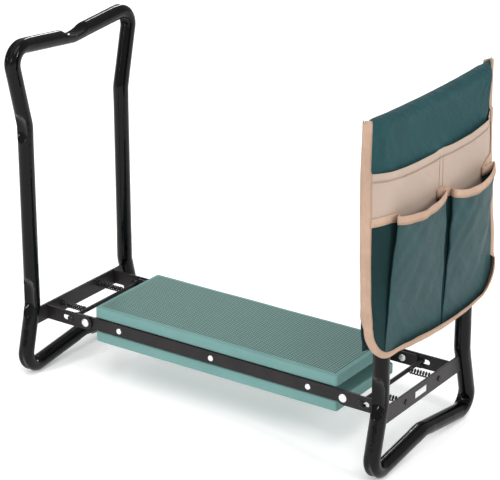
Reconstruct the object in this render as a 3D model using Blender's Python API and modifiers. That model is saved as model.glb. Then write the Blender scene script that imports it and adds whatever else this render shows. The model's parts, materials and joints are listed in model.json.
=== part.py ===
"""Folding garden kneeler seat: a padded seat between two hinged tube frames, with a tool bag.

Metres, +Z up, +X along the seat towards the frame that carries the bag, +Y to the back.
The origin is on the floor, under the middle of the whole object. Everything is placed from
one empty at the middle of the seat, at the height of the pivots.
"""
import math

import bmesh
import bpy
from mathutils import Vector

# Seat
PAD_LENGTH = 0.400
PAD_DEPTH = 0.146
PAD_THICKNESS = 0.016
PAD_CORNER = 0.004
PAD_EDGE = 0.0015
UPPER_PAD_Z = 0.0090
LOWER_PAD_Z = -0.0270
BOARD_THICKNESS = 0.0030
BOARD_LENGTH = 0.342
BOARD_DEPTH = 0.140
CROSS_BAR_WIDTH = 0.028
CROSS_BAR_SHEET = 0.0015
RAIL_HEIGHT = 0.0175
RAIL_THICKNESS = 0.0030
RAIL_INNER_Y = 0.0725
RIVET_PITCH = 0.1567
RIVET_Z = -0.0005
RIVET_SHANK = 0.0022
RIVET_HOLE = 0.0023
RIVET_HEAD = (0.0042, 0.0016)
RIVET_TAIL_RADIUS = 0.0036
TAIL_DEPTH = 0.35
TAIL_TAPER = 0.8

# Hinges, measured from the middle of the seat
PIVOT_X = 0.2135
PIN_RADIUS = 0.0030
PIN_CLEARANCE = 0.0001
PIVOT_HEAD = (0.0060, 0.0022)
PIVOT_TAIL_RADIUS = 0.0050
WASHER_RADIUS = 0.0080
WASHER_THICKNESS = 0.0008
GAP = 0.0003

# Side frames
FRAME_X = 0.2861
TUBE_RADIUS = 0.0110
LEG_Y = 0.1065
UPPER_KINK_Z = 0.2863
LOWER_KINK_Z = 0.0205
HANDLE_CORNER = (0.1335, 0.4010)
HANDLE_DIP = 0.0127
FOOT_CORNER = (0.1314, -0.0762)
FOOT_RISE = 0.0178
CORNER_RADIUS = 0.022
KINK_RADIUS = 0.040
DIP_RADIUS = 0.030
PLATE_INNER_X = 0.2838
PLATE_THICKNESS = 0.0030
PLATE_BOTTOM_Z = -0.0120
PLATE_TOP_Z = 0.0118
ARM_HEIGHT = 0.0205
ARM_THICKNESS = 0.0025

# Locks
LOCK_REACH = 0.0265
ROD_RADIUS = 0.0030
ROD_OVERHANG = 0.0012
SLOT_HEIGHT = 0.0076
SLOT_ENDS = (0.0227, 0.0402)
JAW_REACH = 0.0315
JAW_CORNERS = (0.001, 0.002)
ROD_CHAMFER = 0.2
CLIP_RADIUS = 0.0046
CLIP_THICKNESS = 0.0012
SPRING_Y = 0.043
SPRING_MEAN_RADIUS = 0.0037
SPRING_WIRE_RADIUS = 0.0007
SPRING_TURNS = 10
PLUG_HEAD = 0.0075
PLUG_HEAD_THICKNESS = 0.0010
PLUG_RIB = 0.0026
PLUG_HOLE_RADIUS = 0.0030
PLUG_GUIDE = 0.012
LABEL_SIZE = (0.0002, 0.028, 0.009)
LABEL_Y = -0.005

# Tool bag on the right frame
CLOTH = 0.0011
BAG_HALF_WIDTH = 0.1545
BAG_CORNER = 0.050
BAG_BOTTOM_Z = 0.1000
BAG_HALF_DEPTH = TUBE_RADIUS + 0.0006
WIDE_POCKET_TOP_Z = 0.343
WIDE_POCKET_DEPTH = 0.0052
POCKET_TOP_Z = 0.286
POCKET_BOTTOM_Z = 0.106
POCKET_DEPTH = 0.0120
POCKET_SIDE_Y = 0.125
POCKET_FLANGE = 0.022
POCKET_MIDDLE = 0.006
POCKET_CLEFT = 0.002
POCKET_LOW_FLANGE = 0.004
POCKET_FOLD = 0.001
POCKET_TAPER = 0.8
BINDING_RADIUS = 0.0022


def clear_scene():
    """Removes every object, so the script starts from nothing."""
    for item in list(bpy.data.objects):
        bpy.data.objects.remove(item, do_unlink=True)


clear_scene()
PARTS = bpy.data.collections.new("garden_kneeler_seat")
CUTTERS = bpy.data.collections.new("cutters")
bpy.context.scene.collection.children.link(PARTS)
bpy.context.scene.collection.children.link(CUTTERS)


def material(name, colour, roughness, metallic=0.0):
    """A Principled material."""
    made = bpy.data.materials.new(name)
    made.use_nodes = True
    shader = made.node_tree.nodes["Principled BSDF"]
    shader.inputs["Base Color"].default_value = (*colour, 1.0)
    shader.inputs["Roughness"].default_value = roughness
    shader.inputs["Metallic"].default_value = metallic
    return made


FOAM = material("teal_eva_foam", (0.18, 0.40, 0.37), 0.75)
BOARD = material("black_board", (0.02, 0.02, 0.02), 0.8)
TUBE_PAINT = material("gloss_black_paint", (0.008, 0.008, 0.009), 0.22)
BAR_PAINT = material("satin_black_paint", (0.03, 0.028, 0.028), 0.45)
ZINC = material("zinc_rivet", (0.75, 0.75, 0.75), 0.3, 1.0)
SPRING_STEEL = material("blackened_spring_steel", (0.03, 0.03, 0.03), 0.4, 0.6)
PLASTIC = material("black_plastic", (0.01, 0.01, 0.01), 0.5)
PAPER = material("blank_label", (0.8, 0.8, 0.8), 0.6)
GREEN_CLOTH = material("dark_green_polyester", (0.02, 0.10, 0.09), 0.8)
BEIGE_CLOTH = material("beige_polyester", (0.55, 0.44, 0.36), 0.85)


def empty(name, location, parent=None):
    """An empty that carries a body, on that body's joint."""
    holder = bpy.data.objects.new(name, None)
    PARTS.objects.link(holder)
    holder.location = location
    holder.parent = parent
    return holder


def add(name, data, finish, parent, location=(0, 0, 0), rotation=(0, 0, 0)):
    """An object for one sub-part, placed under the empty of its body."""
    made = bpy.data.objects.new(name, data)
    PARTS.objects.link(made)
    made.parent = parent
    made.location = location
    made.rotation_euler = rotation
    if finish:
        data.materials.append(finish)
    return made


def as_cutter(item):
    """Marks an object as a cutting tool, which isn't part of the model."""
    PARTS.objects.unlink(item)
    CUTTERS.objects.link(item)
    item.hide_render = True
    item.display_type = "WIRE"
    return item


def box(name, low, high, finish, parent):
    """A block between two corners."""
    shape = bmesh.new()
    bmesh.ops.create_cube(shape, size=1.0)
    size = Vector(high) - Vector(low)
    middle = (Vector(high) + Vector(low)) / 2
    bmesh.ops.scale(shape, vec=size, verts=shape.verts)
    mesh = bpy.data.meshes.new(name)
    shape.to_mesh(mesh)
    shape.free()
    return add(name, mesh, finish, parent, middle)


def arc(centre, radius, start, end, steps):
    """Points on an arc, in degrees, both ends included."""
    angles = [math.radians(start + (end - start) * i / steps) for i in range(steps + 1)]
    return [(centre[0] + radius * math.cos(a), centre[1] + radius * math.sin(a)) for a in angles]


def circle(centre, radius, steps=20):
    """Points round a circle, without repeating the first."""
    return arc(centre, radius, 0, 360, steps)[:-1]


def rounded_rectangle(half_x, half_y, radius, steps=5):
    """The outline of a rectangle with four round corners."""
    outline = []
    for sign_x, sign_y, start in ((1, 1, 0), (-1, 1, 90), (-1, -1, 180), (1, -1, 270)):
        middle = (sign_x * (half_x - radius), sign_y * (half_y - radius))
        outline += arc(middle, radius, start, start + 90, steps)
    return outline


def prism(name, outlines, thickness, finish, parent, location, rotation=(0, 0, 0)):
    """A flat plate from a 2D outline, with any further outlines as holes in it."""
    curve = bpy.data.curves.new(name, "CURVE")
    curve.dimensions = "2D"
    curve.fill_mode = "BOTH"
    curve.extrude = thickness / 2
    for outline in outlines:
        spline = curve.splines.new("POLY")
        spline.points.add(len(outline) - 1)
        for point, (x, y) in zip(spline.points, outline):
            point.co = (x, y, 0, 1)
        spline.use_cyclic_u = True
    return add(name, curve, finish, parent, location, rotation)


def wire(name, points, radius, resolution, finish, parent, location=(0, 0, 0), cyclic=False):
    """A round bar or tube along a line of points."""
    curve = bpy.data.curves.new(name, "CURVE")
    curve.dimensions = "3D"
    curve.bevel_depth = radius
    curve.bevel_resolution = resolution
    curve.use_fill_caps = not cyclic
    spline = curve.splines.new("POLY")
    spline.points.add(len(points) - 1)
    for point, place in zip(spline.points, points):
        point.co = (*place, 1)
    spline.use_cyclic_u = cyclic
    return add(name, curve, finish, parent, location)


def turned(name, profile, steps, finish, parent, location, rotation, ring=False):
    """A turned piece. The profile is (radius, height), down its outer side."""
    mesh = bpy.data.meshes.new(name)
    edges = [(i, i + 1) for i in range(len(profile) - 1)]
    if ring:
        edges.append((len(profile) - 1, 0))
    mesh.from_pydata([(radius, 0, height) for radius, height in profile], edges, [])
    made = add(name, mesh, finish, parent, location, rotation)
    screw = made.modifiers.new("turn", "SCREW")
    screw.steps = steps
    screw.render_steps = steps
    screw.use_merge_vertices = True
    screw.merge_threshold = 0.00001
    screw.use_smooth_shade = True
    return made


def sheet(name, rows, thickness, finish, parent, location=(0, 0, 0)):
    """A cloth or metal sheet through rows of points, thickened to the side of its normals."""
    mesh = bpy.data.meshes.new(name)
    width = len(rows[0])
    points = [point for row in rows for point in row]
    faces = []
    for r in range(len(rows) - 1):
        for c in range(width - 1):
            a = r * width + c
            faces.append((a, a + 1, a + width + 1, a + width))
    mesh.from_pydata(points, [], faces)
    made = add(name, mesh, finish, parent, location)
    solid = made.modifiers.new("thickness", "SOLIDIFY")
    solid.thickness = thickness
    solid.offset = 1
    solid.use_even_offset = True
    return made


def bevel(item, width, segments=2):
    """Rounds the edges of a curve-made plate."""
    weld = item.modifiers.new("weld", "WELD")
    weld.merge_threshold = 0.00001
    rounding = item.modifiers.new("edges", "BEVEL")
    rounding.width = width
    rounding.segments = segments
    rounding.limit_method = "ANGLE"
    rounding.angle_limit = math.radians(60)


FACING_FRONT = (math.radians(90), 0, 0)
FACING_BACK = (math.radians(-90), 0, 0)
FACING_SIDE = (math.radians(90), 0, math.radians(90))


def rounded_path(corners):
    """A closed path through (y, z, radius) corners, each one rounded to its radius."""
    path = []
    count = len(corners)
    for i, (y, z, radius) in enumerate(corners):
        here = Vector((y, z))
        before = (Vector(corners[i - 1][:2]) - here).normalized()
        after = (Vector(corners[(i + 1) % count][:2]) - here).normalized()
        inside = before.angle(after)
        middle = here + (before + after).normalized() * radius / math.sin(inside / 2)
        start = here + before * radius / math.tan(inside / 2) - middle
        turn = start.angle_signed(here + after * radius / math.tan(inside / 2) - middle)
        steps = max(2, round(abs(math.degrees(turn)) / 13))
        for k in range(steps + 1):
            angle = -turn * k / steps
            path.append(
                (
                    middle.x + start.x * math.cos(angle) - start.y * math.sin(angle),
                    middle.y + start.x * math.sin(angle) + start.y * math.cos(angle),
                )
            )
    return path


def frame_path():
    """The centre line of a side frame in Y and Z: handle with its dip, legs, foot with its rise."""
    top_y, top_z = HANDLE_CORNER
    foot_y, foot_z = FOOT_CORNER
    half = [
        (top_y, top_z, CORNER_RADIUS),
        (LEG_Y, UPPER_KINK_Z, KINK_RADIUS),
        (LEG_Y, LOWER_KINK_Z, KINK_RADIUS),
        (foot_y, foot_z, CORNER_RADIUS),
    ]
    mirrored = [(-y, z, radius) for y, z, radius in reversed(half)]
    handle_dip = (0.0, top_z - HANDLE_DIP, DIP_RADIUS)
    foot_rise = (0.0, foot_z + FOOT_RISE, DIP_RADIUS)
    return rounded_path([handle_dip, *half, foot_rise, *mirrored])


FRAME_PATH = frame_path()
HANDLE_TOP_Z = max(z for _, z in FRAME_PATH)
PIVOT_HEIGHT = TUBE_RADIUS - min(z for _, z in FRAME_PATH)
RAIL_OUTER_Y = RAIL_INNER_Y + RAIL_THICKNESS
ARM_INNER_Y = RAIL_OUTER_Y + 2 * GAP + WASHER_THICKNESS
ARM_OUTER_Y = ARM_INNER_Y + ARM_THICKNESS
BAG_FACE_X = FRAME_X + BAG_HALF_DEPTH + CLOTH
POCKET_BACK_X = BAG_FACE_X + GAP + WIDE_POCKET_DEPTH + CLOTH
BAG_OUTER_X = POCKET_BACK_X + GAP + POCKET_DEPTH + CLOTH
CENTRE_X = (FRAME_X + TUBE_RADIUS - BAG_OUTER_X) / 2

SEAT = empty("seat_middle", (CENTRE_X, 0, PIVOT_HEIGHT))


def leg_y(z):
    """Half the distance between the legs' centre lines, at a height."""
    if z > LOWER_KINK_Z:
        return LEG_Y
    foot_y, foot_z = FOOT_CORNER
    return LEG_Y + (foot_y - LEG_Y) * (LOWER_KINK_Z - z) / (LOWER_KINK_Z - foot_z)


def build_pads():
    """The two foam pads, with round corners and softened edges."""
    outline = rounded_rectangle(PAD_LENGTH / 2, PAD_DEPTH / 2, PAD_CORNER)
    for name, z in (("upper_pad", UPPER_PAD_Z), ("lower_pad", LOWER_PAD_Z)):
        middle = (0, 0, z + PAD_THICKNESS / 2)
        pad = prism(name, [outline], PAD_THICKNESS, FOAM, SEAT, middle)
        bevel(pad, PAD_EDGE)


def build_boards():
    """The backing boards, each glued to its pad."""
    x, y = BOARD_LENGTH / 2, BOARD_DEPTH / 2
    upper_top = UPPER_PAD_Z - GAP
    box("upper_board", (-x, -y, upper_top - BOARD_THICKNESS), (x, y, upper_top), BOARD, SEAT)
    lower_bottom = LOWER_PAD_Z + PAD_THICKNESS + GAP
    lower_top = lower_bottom + BOARD_THICKNESS
    box("lower_board", (-x, -y, lower_bottom), (x, y, lower_top), BOARD, SEAT)


def build_cross_bars():
    """Pressed channels between the rails, open below, with a rivet hole in each closed end."""
    top = UPPER_PAD_Z - 2 * GAP - BOARD_THICKNESS
    bottom = LOWER_PAD_Z + PAD_THICKNESS + 2 * GAP + BOARD_THICKNESS
    half = RAIL_INNER_Y - GAP
    for side, x in (("left", -RIVET_PITCH), ("centre", 0.0), ("right", RIVET_PITCH)):
        low = (x - CROSS_BAR_WIDTH / 2, -half, bottom)
        high = (x + CROSS_BAR_WIDTH / 2, half, top)
        bar = box(f"cross_bar_{side}", low, high, BAR_PAINT, SEAT)
        shape = bmesh.new()
        shape.from_mesh(bar.data)
        under = [face for face in shape.faces if face.normal.z < -0.5]
        bmesh.ops.delete(shape, geom=under, context="FACES_ONLY")
        shape.to_mesh(bar.data)
        shape.free()
        pressed = bar.modifiers.new("sheet", "SOLIDIFY")
        pressed.thickness = CROSS_BAR_SHEET
        pressed.offset = -1
        pressed.use_even_offset = True
        reach = half * 1.2
        drill = [(0, reach), (RIVET_HOLE, reach), (RIVET_HOLE, -reach), (0, -reach)]
        hole = turned(f"{side}_bar_drill", drill, 20, None, SEAT, (x, 0, RIVET_Z), FACING_FRONT)
        as_cutter(hole)
        cut = bar.modifiers.new("rivet_holes", "BOOLEAN")
        cut.object = hole
        cut.operation = "DIFFERENCE"


def rail_end(side):
    """The outline of a rail's end past the pivot: a round cam and the seat below the lock rod."""
    half = RAIL_HEIGHT / 2
    cam = LOCK_REACH - ROD_RADIUS - 2 * GAP
    seat = -ROD_RADIUS - GAP
    start = math.degrees(math.asin(half / cam))
    end = math.degrees(math.asin(seat / cam))
    points = arc((PIVOT_X, 0), cam, start, end, 6)
    tip = PIVOT_X + JAW_REACH
    upper, lower = JAW_CORNERS
    points += [(tip - upper, seat), (tip, seat - upper), (tip, -half + lower), (tip - lower, -half)]
    return points if side > 0 else [(-x, z) for x, z in reversed(points)]


def build_rails():
    """The two flat rails, drilled for three rivets and two pivots."""
    holes = [circle((x, RIVET_Z), RIVET_HOLE, 16) for x in (-RIVET_PITCH, 0, RIVET_PITCH)]
    holes += [circle((x, 0), PIN_RADIUS + PIN_CLEARANCE, 20) for x in (-PIVOT_X, PIVOT_X)]
    outline = rail_end(1) + rail_end(-1)
    for name, side in (("front_rail", -1), ("rear_rail", 1)):
        place = (0, side * (RAIL_INNER_Y + RAIL_THICKNESS / 2), 0)
        prism(name, [outline, *holes], RAIL_THICKNESS, BAR_PAINT, SEAT, place, FACING_FRONT)


def rivet(name, head, shank, grip, tail_radius, place, rotation):
    """A domed rivet, with its head on the plane through its place and its tail behind the grip."""
    radius, height = head
    ball = (radius**2 + height**2) / (2 * height)
    lean = math.asin(radius / ball)
    dome = [(ball * math.sin(lean * i / 4), ball * math.cos(lean * i / 4)) for i in range(5)]
    profile = [(x, z - ball + height) for x, z in dome]
    closed = -grip - tail_radius * TAIL_DEPTH
    profile += [(shank, 0), (shank, -grip), (tail_radius, -grip)]
    profile += [(tail_radius * TAIL_TAPER, closed), (0, closed)]
    return turned(name, profile, 16, ZINC, SEAT, place, rotation)


def build_rivets():
    """Six small rivets hold the rails, four large ones are the hinge pins."""
    rail_grip = RAIL_THICKNESS + CROSS_BAR_SHEET + 3 * GAP
    pivot_grip = ARM_OUTER_Y - RAIL_INNER_Y + 2 * GAP
    half = WASHER_THICKNESS / 2
    bore = PIN_RADIUS + PIN_CLEARANCE
    ring = [(WASHER_RADIUS, half), (WASHER_RADIUS, -half), (bore, -half), (bore, half)]
    for front, side, turn in (("front", -1, FACING_FRONT), ("rear", 1, FACING_BACK)):
        for where, x in (("left", -RIVET_PITCH), ("centre", 0.0), ("right", RIVET_PITCH)):
            place = (x, side * (RAIL_OUTER_Y + GAP), RIVET_Z)
            name = f"rail_rivet_{front}_{where}"
            rivet(name, RIVET_HEAD, RIVET_SHANK, rail_grip, RIVET_TAIL_RADIUS, place, turn)
        for where, x in (("left", -PIVOT_X), ("right", PIVOT_X)):
            place = (x, side * (ARM_OUTER_Y + GAP), 0)
            name = f"pivot_rivet_{front}_{where}"
            rivet(name, PIVOT_HEAD, PIN_RADIUS, pivot_grip, PIVOT_TAIL_RADIUS, place, turn)
            middle = (x, side * (RAIL_OUTER_Y + GAP + half), 0)
            name = f"pivot_washer_{front}_{where}"
            turned(name, ring, 20, PLASTIC, SEAT, middle, turn, ring=True)


def build_tube(side, hinge, offset):
    """The closed loop of bent tube, with its dipped handle and foot."""
    path = [(offset, y, z) for y, z in FRAME_PATH]
    wire(f"{side}_side_frame", path, TUBE_RADIUS, 4, TUBE_PAINT, hinge, cyclic=True)


def build_cross_plate(side, hinge, sign):
    """The flat bar between the legs, its ends cut to the flare of the legs."""
    flare = math.atan2(FOOT_CORNER[0] - LEG_Y, LOWER_KINK_Z - FOOT_CORNER[1])
    clear = (TUBE_RADIUS + GAP) / math.cos(flare)
    top, bottom = leg_y(PLATE_TOP_Z) - clear, leg_y(PLATE_BOTTOM_Z) - clear
    outline = [(top, PLATE_TOP_Z), (-top, PLATE_TOP_Z), (-bottom, PLATE_BOTTOM_Z), (bottom, PLATE_BOTTOM_Z)]
    holes = [circle((y, 0), PLUG_HOLE_RADIUS, 16) for y in (-SPRING_Y, SPRING_Y)]
    place = (sign * (PLATE_INNER_X + PLATE_THICKNESS / 2 - PIVOT_X), 0, 0)
    prism(f"{side}_cross_plate", [outline, *holes], PLATE_THICKNESS, BAR_PAINT, hinge, place, FACING_SIDE)


def build_arms(side, hinge, sign):
    """The two arms from the cross plate to the pivots, each with a slot for the lock rod."""
    half = ARM_HEIGHT / 2
    reach = PLATE_INNER_X - PIVOT_X - GAP
    slot_radius = SLOT_HEIGHT / 2
    outline = arc((0, 0), half, 90, 270, 12) + [(reach, -half), (reach, half)]
    slot = arc((SLOT_ENDS[1] - slot_radius, 0), slot_radius, -90, 90, 8)
    slot += arc((SLOT_ENDS[0] + slot_radius, 0), slot_radius, 90, 270, 8)
    pin_hole = circle((0, 0), PIN_RADIUS + PIN_CLEARANCE, 20)
    outlines = [[(sign * x, z) for x, z in points] for points in (outline, slot, pin_hole)]
    for front, y in (("front", -1), ("rear", 1)):
        place = (0, y * (ARM_INNER_Y + ARM_THICKNESS / 2), 0)
        prism(f"{side}_{front}_arm", outlines, ARM_THICKNESS, BAR_PAINT, hinge, place, FACING_FRONT)


def build_lock(side, lock):
    """The lock rod through both arms, with a clip outside each arm."""
    end = ARM_OUTER_Y + CLIP_THICKNESS + ROD_OVERHANG
    tip, edge = ROD_RADIUS * (1 - ROD_CHAMFER), end - ROD_RADIUS * ROD_CHAMFER
    rod = [(0, end), (tip, end), (ROD_RADIUS, edge), (ROD_RADIUS, -edge), (tip, -end), (0, -end)]
    turned(f"{side}_lock_rod", rod, 16, BAR_PAINT, lock, (0, 0, 0), FACING_FRONT)
    half = CLIP_THICKNESS / 2
    inner = ROD_RADIUS + PIN_CLEARANCE
    ring = [(CLIP_RADIUS, half), (CLIP_RADIUS, -half), (inner, -half), (inner, half)]
    for front, y in (("front", -1), ("rear", 1)):
        place = (0, y * (ARM_OUTER_Y + GAP + half), 0)
        turned(f"{side}_{front}_lock_clip", ring, 16, BAR_PAINT, lock, place, FACING_FRONT, ring=True)


def build_springs(side, hinge, sign):
    """The compression springs between the lock rod and the cross plate, with their plugs."""
    start = LOCK_REACH + ROD_RADIUS + GAP + SPRING_WIRE_RADIUS
    end = PLATE_INNER_X - PIVOT_X - GAP - SPRING_WIRE_RADIUS
    steps = SPRING_TURNS * 8
    for front, y in (("front", -SPRING_Y), ("rear", SPRING_Y)):
        coil = []
        for i in range(steps + 1):
            angle = 2 * math.pi * SPRING_TURNS * i / steps
            x = start + (end - start) * i / steps
            across = SPRING_MEAN_RADIUS * math.cos(angle)
            coil.append((sign * x, y + across, SPRING_MEAN_RADIUS * math.sin(angle)))
        name = f"{side}_{front}_lock_spring"
        wire(name, coil, SPRING_WIRE_RADIUS, 1, SPRING_STEEL, hinge)
        build_plug(f"{side}_{front}_spring_plug", y, hinge, sign)


def build_plug(name, y, hinge, sign):
    """A plug with a plus-shaped head outside the plate and a square guide inside the spring."""
    outer = PLATE_INNER_X + PLATE_THICKNESS + GAP - PIVOT_X
    arm = (PLUG_HEAD - PLUG_RIB) / 2
    stem = GAP + PLATE_THICKNESS + PLUG_GUIDE
    shape = bmesh.new()
    bmesh.ops.create_cube(shape, size=1.0)
    bmesh.ops.scale(shape, vec=(PLUG_HEAD_THICKNESS, PLUG_RIB, PLUG_RIB), verts=shape.verts)
    shape.normal_update()
    for face in list(shape.faces):
        facing = face.normal.copy()
        length = arm if abs(facing.x) < 0.5 else stem
        if facing.x * sign > 0.5:
            continue
        drawn = bmesh.ops.extrude_discrete_faces(shape, faces=[face])["faces"]
        bmesh.ops.translate(shape, vec=facing * length, verts=drawn[0].verts)
    mesh = bpy.data.meshes.new(name)
    shape.to_mesh(mesh)
    shape.free()
    add(name, mesh, PLASTIC, hinge, (sign * (outer + PLUG_HEAD_THICKNESS / 2), y, 0))


def build_label(hinge):
    """A blank sticker on the outer face of the right cross plate."""
    thick, wide, tall = LABEL_SIZE
    x = PLATE_INNER_X + PLATE_THICKNESS + GAP - PIVOT_X
    low = (x, LABEL_Y - wide / 2, -tall / 2)
    high = (x + thick, LABEL_Y + wide / 2, tall / 2)
    box("label_plate", low, high, PAPER, hinge)


def bag_outline(half_width, bottom, top, radius):
    """A panel with two round lower corners, in Y and Z."""
    left = arc((-half_width + radius, bottom + radius), radius, 180, 270, 8)
    right = arc((half_width - radius, bottom + radius), radius, 270, 360, 8)
    return [(-half_width, top), *left, *right, (half_width, top)]


def build_bag_hood(hinge):
    """The bag's hood: an outer and an inner panel, the fold over the handle and two side seams."""
    middle_x = FRAME_X - PIVOT_X
    outline = bag_outline(BAG_HALF_WIDTH, BAG_BOTTOM_Z, HANDLE_TOP_Z - GAP, BAG_CORNER)
    for name, side in (("bag_front_panel", 1), ("bag_back_panel", -1)):
        place = (middle_x + side * (BAG_HALF_DEPTH + CLOTH / 2), 0, 0)
        prism(name, [outline], CLOTH, GREEN_CLOTH, hinge, place, FACING_SIDE)
    over = arc((middle_x, HANDLE_TOP_Z), BAG_HALF_DEPTH, 0, 180, 12)
    rows = [[(x, y, z) for y in (-BAG_HALF_WIDTH, BAG_HALF_WIDTH)] for x, z in over]
    sheet("bag_top_fold", rows, CLOTH, GREEN_CLOTH, hinge)
    inner_x = middle_x - BAG_HALF_DEPTH - CLOTH
    outer_x = BAG_FACE_X - PIVOT_X - CLOTH / 2 - BINDING_RADIUS - GAP
    for front, side in (("front", -1), ("rear", 1)):
        near, far = sorted((side * (BAG_HALF_WIDTH + GAP), side * (BAG_HALF_WIDTH + GAP + CLOTH)))
        low = (inner_x, near, BAG_BOTTOM_Z + BAG_CORNER)
        high = (outer_x, far, HANDLE_TOP_Z)
        box(f"bag_side_seam_{front}", low, high, BEIGE_CLOTH, hinge)


def build_bag_pockets(hinge):
    """The flat beige pocket and the two pleated green pockets in front of it."""
    back = BAG_FACE_X + GAP - PIVOT_X
    front = back + WIDE_POCKET_DEPTH
    wide = BAG_HALF_WIDTH - CLOTH
    low = BAG_BOTTOM_Z + CLOTH
    narrow = wide - BAG_CORNER * POCKET_TAPER
    full = low + BAG_CORNER
    levels = ((low, narrow, back), (full, wide, front), (WIDE_POCKET_TOP_Z, wide, front))
    rows = []
    for z, half, x in levels:
        inner = half - WIDE_POCKET_DEPTH
        rows.append([(back, -half, z), (x, -inner, z), (x, inner, z), (back, half, z)])
    sheet("bag_wide_pocket", rows, CLOTH, BEIGE_CLOTH, hinge)
    back = POCKET_BACK_X + GAP - PIVOT_X
    side, middle, fold = POCKET_SIDE_Y, POCKET_MIDDLE, POCKET_FOLD
    bottom = (POCKET_BOTTOM_Z, POCKET_LOW_FLANGE, 0.0)
    mouth = (POCKET_TOP_Z, POCKET_FLANGE, POCKET_DEPTH)
    for name, sign in (("bag_pocket_left", -1), ("bag_pocket_right", 1)):
        rows = []
        for z, flange, depth in (bottom, mouth):
            row = [(back, side + flange, z), (back, side, z), (back + depth, side - fold, z)]
            row += [(back + depth, middle + fold, z), (back, middle, z), (back, POCKET_CLEFT, z)]
            row = [(x, sign * y, z) for x, y, z in row]
            rows.append(row if sign < 0 else row[::-1])
        sheet(name, rows, CLOTH, GREEN_CLOTH, hinge)


def build_bag_binding(hinge):
    """The tape round the sides and bottom of the bag's front panel."""
    reach = GAP + BINDING_RADIUS
    outline = bag_outline(BAG_HALF_WIDTH + reach, BAG_BOTTOM_Z - reach, HANDLE_TOP_Z, BAG_CORNER + reach)
    x = FRAME_X + TUBE_RADIUS + 2 * GAP + BINDING_RADIUS - PIVOT_X
    wire("bag_binding", [(x, y, z) for y, z in outline], BINDING_RADIUS, 2, BEIGE_CLOTH, hinge)


def main():
    """Builds the seat, then each side frame on its hinge, then the bag on the right frame."""
    build_pads()
    build_boards()
    build_cross_bars()
    build_rails()
    build_rivets()
    for side, sign in (("left", -1), ("right", 1)):
        hinge = empty(f"{side}_hinge", (sign * PIVOT_X, 0, 0), SEAT)
        lock = empty(f"{side}_lock", (sign * LOCK_REACH, 0, 0), hinge)
        build_tube(side, hinge, sign * (FRAME_X - PIVOT_X))
        build_cross_plate(side, hinge, sign)
        build_arms(side, hinge, sign)
        build_lock(side, lock)
        build_springs(side, hinge, sign)
    build_label(hinge)
    build_bag_hood(hinge)
    build_bag_pockets(hinge)
    build_bag_binding(hinge)


main()
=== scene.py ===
"""Looks of the folding garden kneeler seat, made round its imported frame.

Every size is in metres, in the frame's own axes: +X along the seat towards the side frame that
carries the tool bag, +Y to the back, +Z up, with the floor at zero.
"""
import json
import logging
import math
from dataclasses import dataclass, field, replace
from enum import Enum
from typing import Callable, Iterable, Optional, Sequence, Union

import bmesh
import bpy
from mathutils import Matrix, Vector, noise

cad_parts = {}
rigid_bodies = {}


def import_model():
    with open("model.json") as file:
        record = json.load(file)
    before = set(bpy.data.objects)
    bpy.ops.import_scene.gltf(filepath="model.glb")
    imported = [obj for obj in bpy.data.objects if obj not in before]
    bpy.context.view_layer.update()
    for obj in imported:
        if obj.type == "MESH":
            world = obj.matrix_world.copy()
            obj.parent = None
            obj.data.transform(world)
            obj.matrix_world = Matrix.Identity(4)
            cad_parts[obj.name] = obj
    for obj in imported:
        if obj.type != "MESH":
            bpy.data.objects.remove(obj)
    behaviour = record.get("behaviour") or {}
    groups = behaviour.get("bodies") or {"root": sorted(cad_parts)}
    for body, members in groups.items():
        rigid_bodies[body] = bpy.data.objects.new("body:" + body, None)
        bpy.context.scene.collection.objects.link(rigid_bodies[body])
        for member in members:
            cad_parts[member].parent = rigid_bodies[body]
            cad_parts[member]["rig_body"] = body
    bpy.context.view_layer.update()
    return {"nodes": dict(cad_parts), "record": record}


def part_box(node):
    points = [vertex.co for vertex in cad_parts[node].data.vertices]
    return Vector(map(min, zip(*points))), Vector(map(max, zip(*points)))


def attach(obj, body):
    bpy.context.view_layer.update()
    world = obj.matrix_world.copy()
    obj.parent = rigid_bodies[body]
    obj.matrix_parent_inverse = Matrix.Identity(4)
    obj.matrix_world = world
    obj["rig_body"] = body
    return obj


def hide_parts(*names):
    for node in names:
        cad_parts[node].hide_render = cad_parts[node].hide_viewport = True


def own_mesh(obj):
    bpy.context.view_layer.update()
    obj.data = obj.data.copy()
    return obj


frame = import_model()

logging.basicConfig(level=logging.INFO, format="%(message)s")
LOG = logging.getLogger("kneeler")

Point = tuple[float, float, float]
Colour = tuple[float, float, float]

ENDS = (("front", -1.0), ("rear", 1.0))
SIDES = (("left", -1.0), ("right", 1.0))
TINY = 1e-12


def lerp(a: float, b: float, share: float) -> float:
    """A value between two others."""
    return a + (b - a) * share


def clamp(value: float, low: float = 0.0, high: float = 1.0) -> float:
    """A value held between two limits."""
    return max(low, min(high, value))


def smooth(share: float) -> float:
    """An eased share, from 0 to 1, with flat ends."""
    share = clamp(share)
    return share * share * (3 - 2 * share)


def along(table: Sequence[tuple[float, float]], at: float) -> float:
    """Reads an eased value from a short list of (place, value) stations.

    Args:
        table: Stations in rising order of place.
        at: Where to read.

    Returns:
        The value there.
    """
    if at <= table[0][0]:
        return table[0][1]
    for (a, low), (b, high) in zip(table, table[1:]):
        if at <= b:
            return lerp(low, high, smooth((at - a) / (b - a)))
    return table[-1][1]


# ---------------------------------------------------------------- shader building


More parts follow.
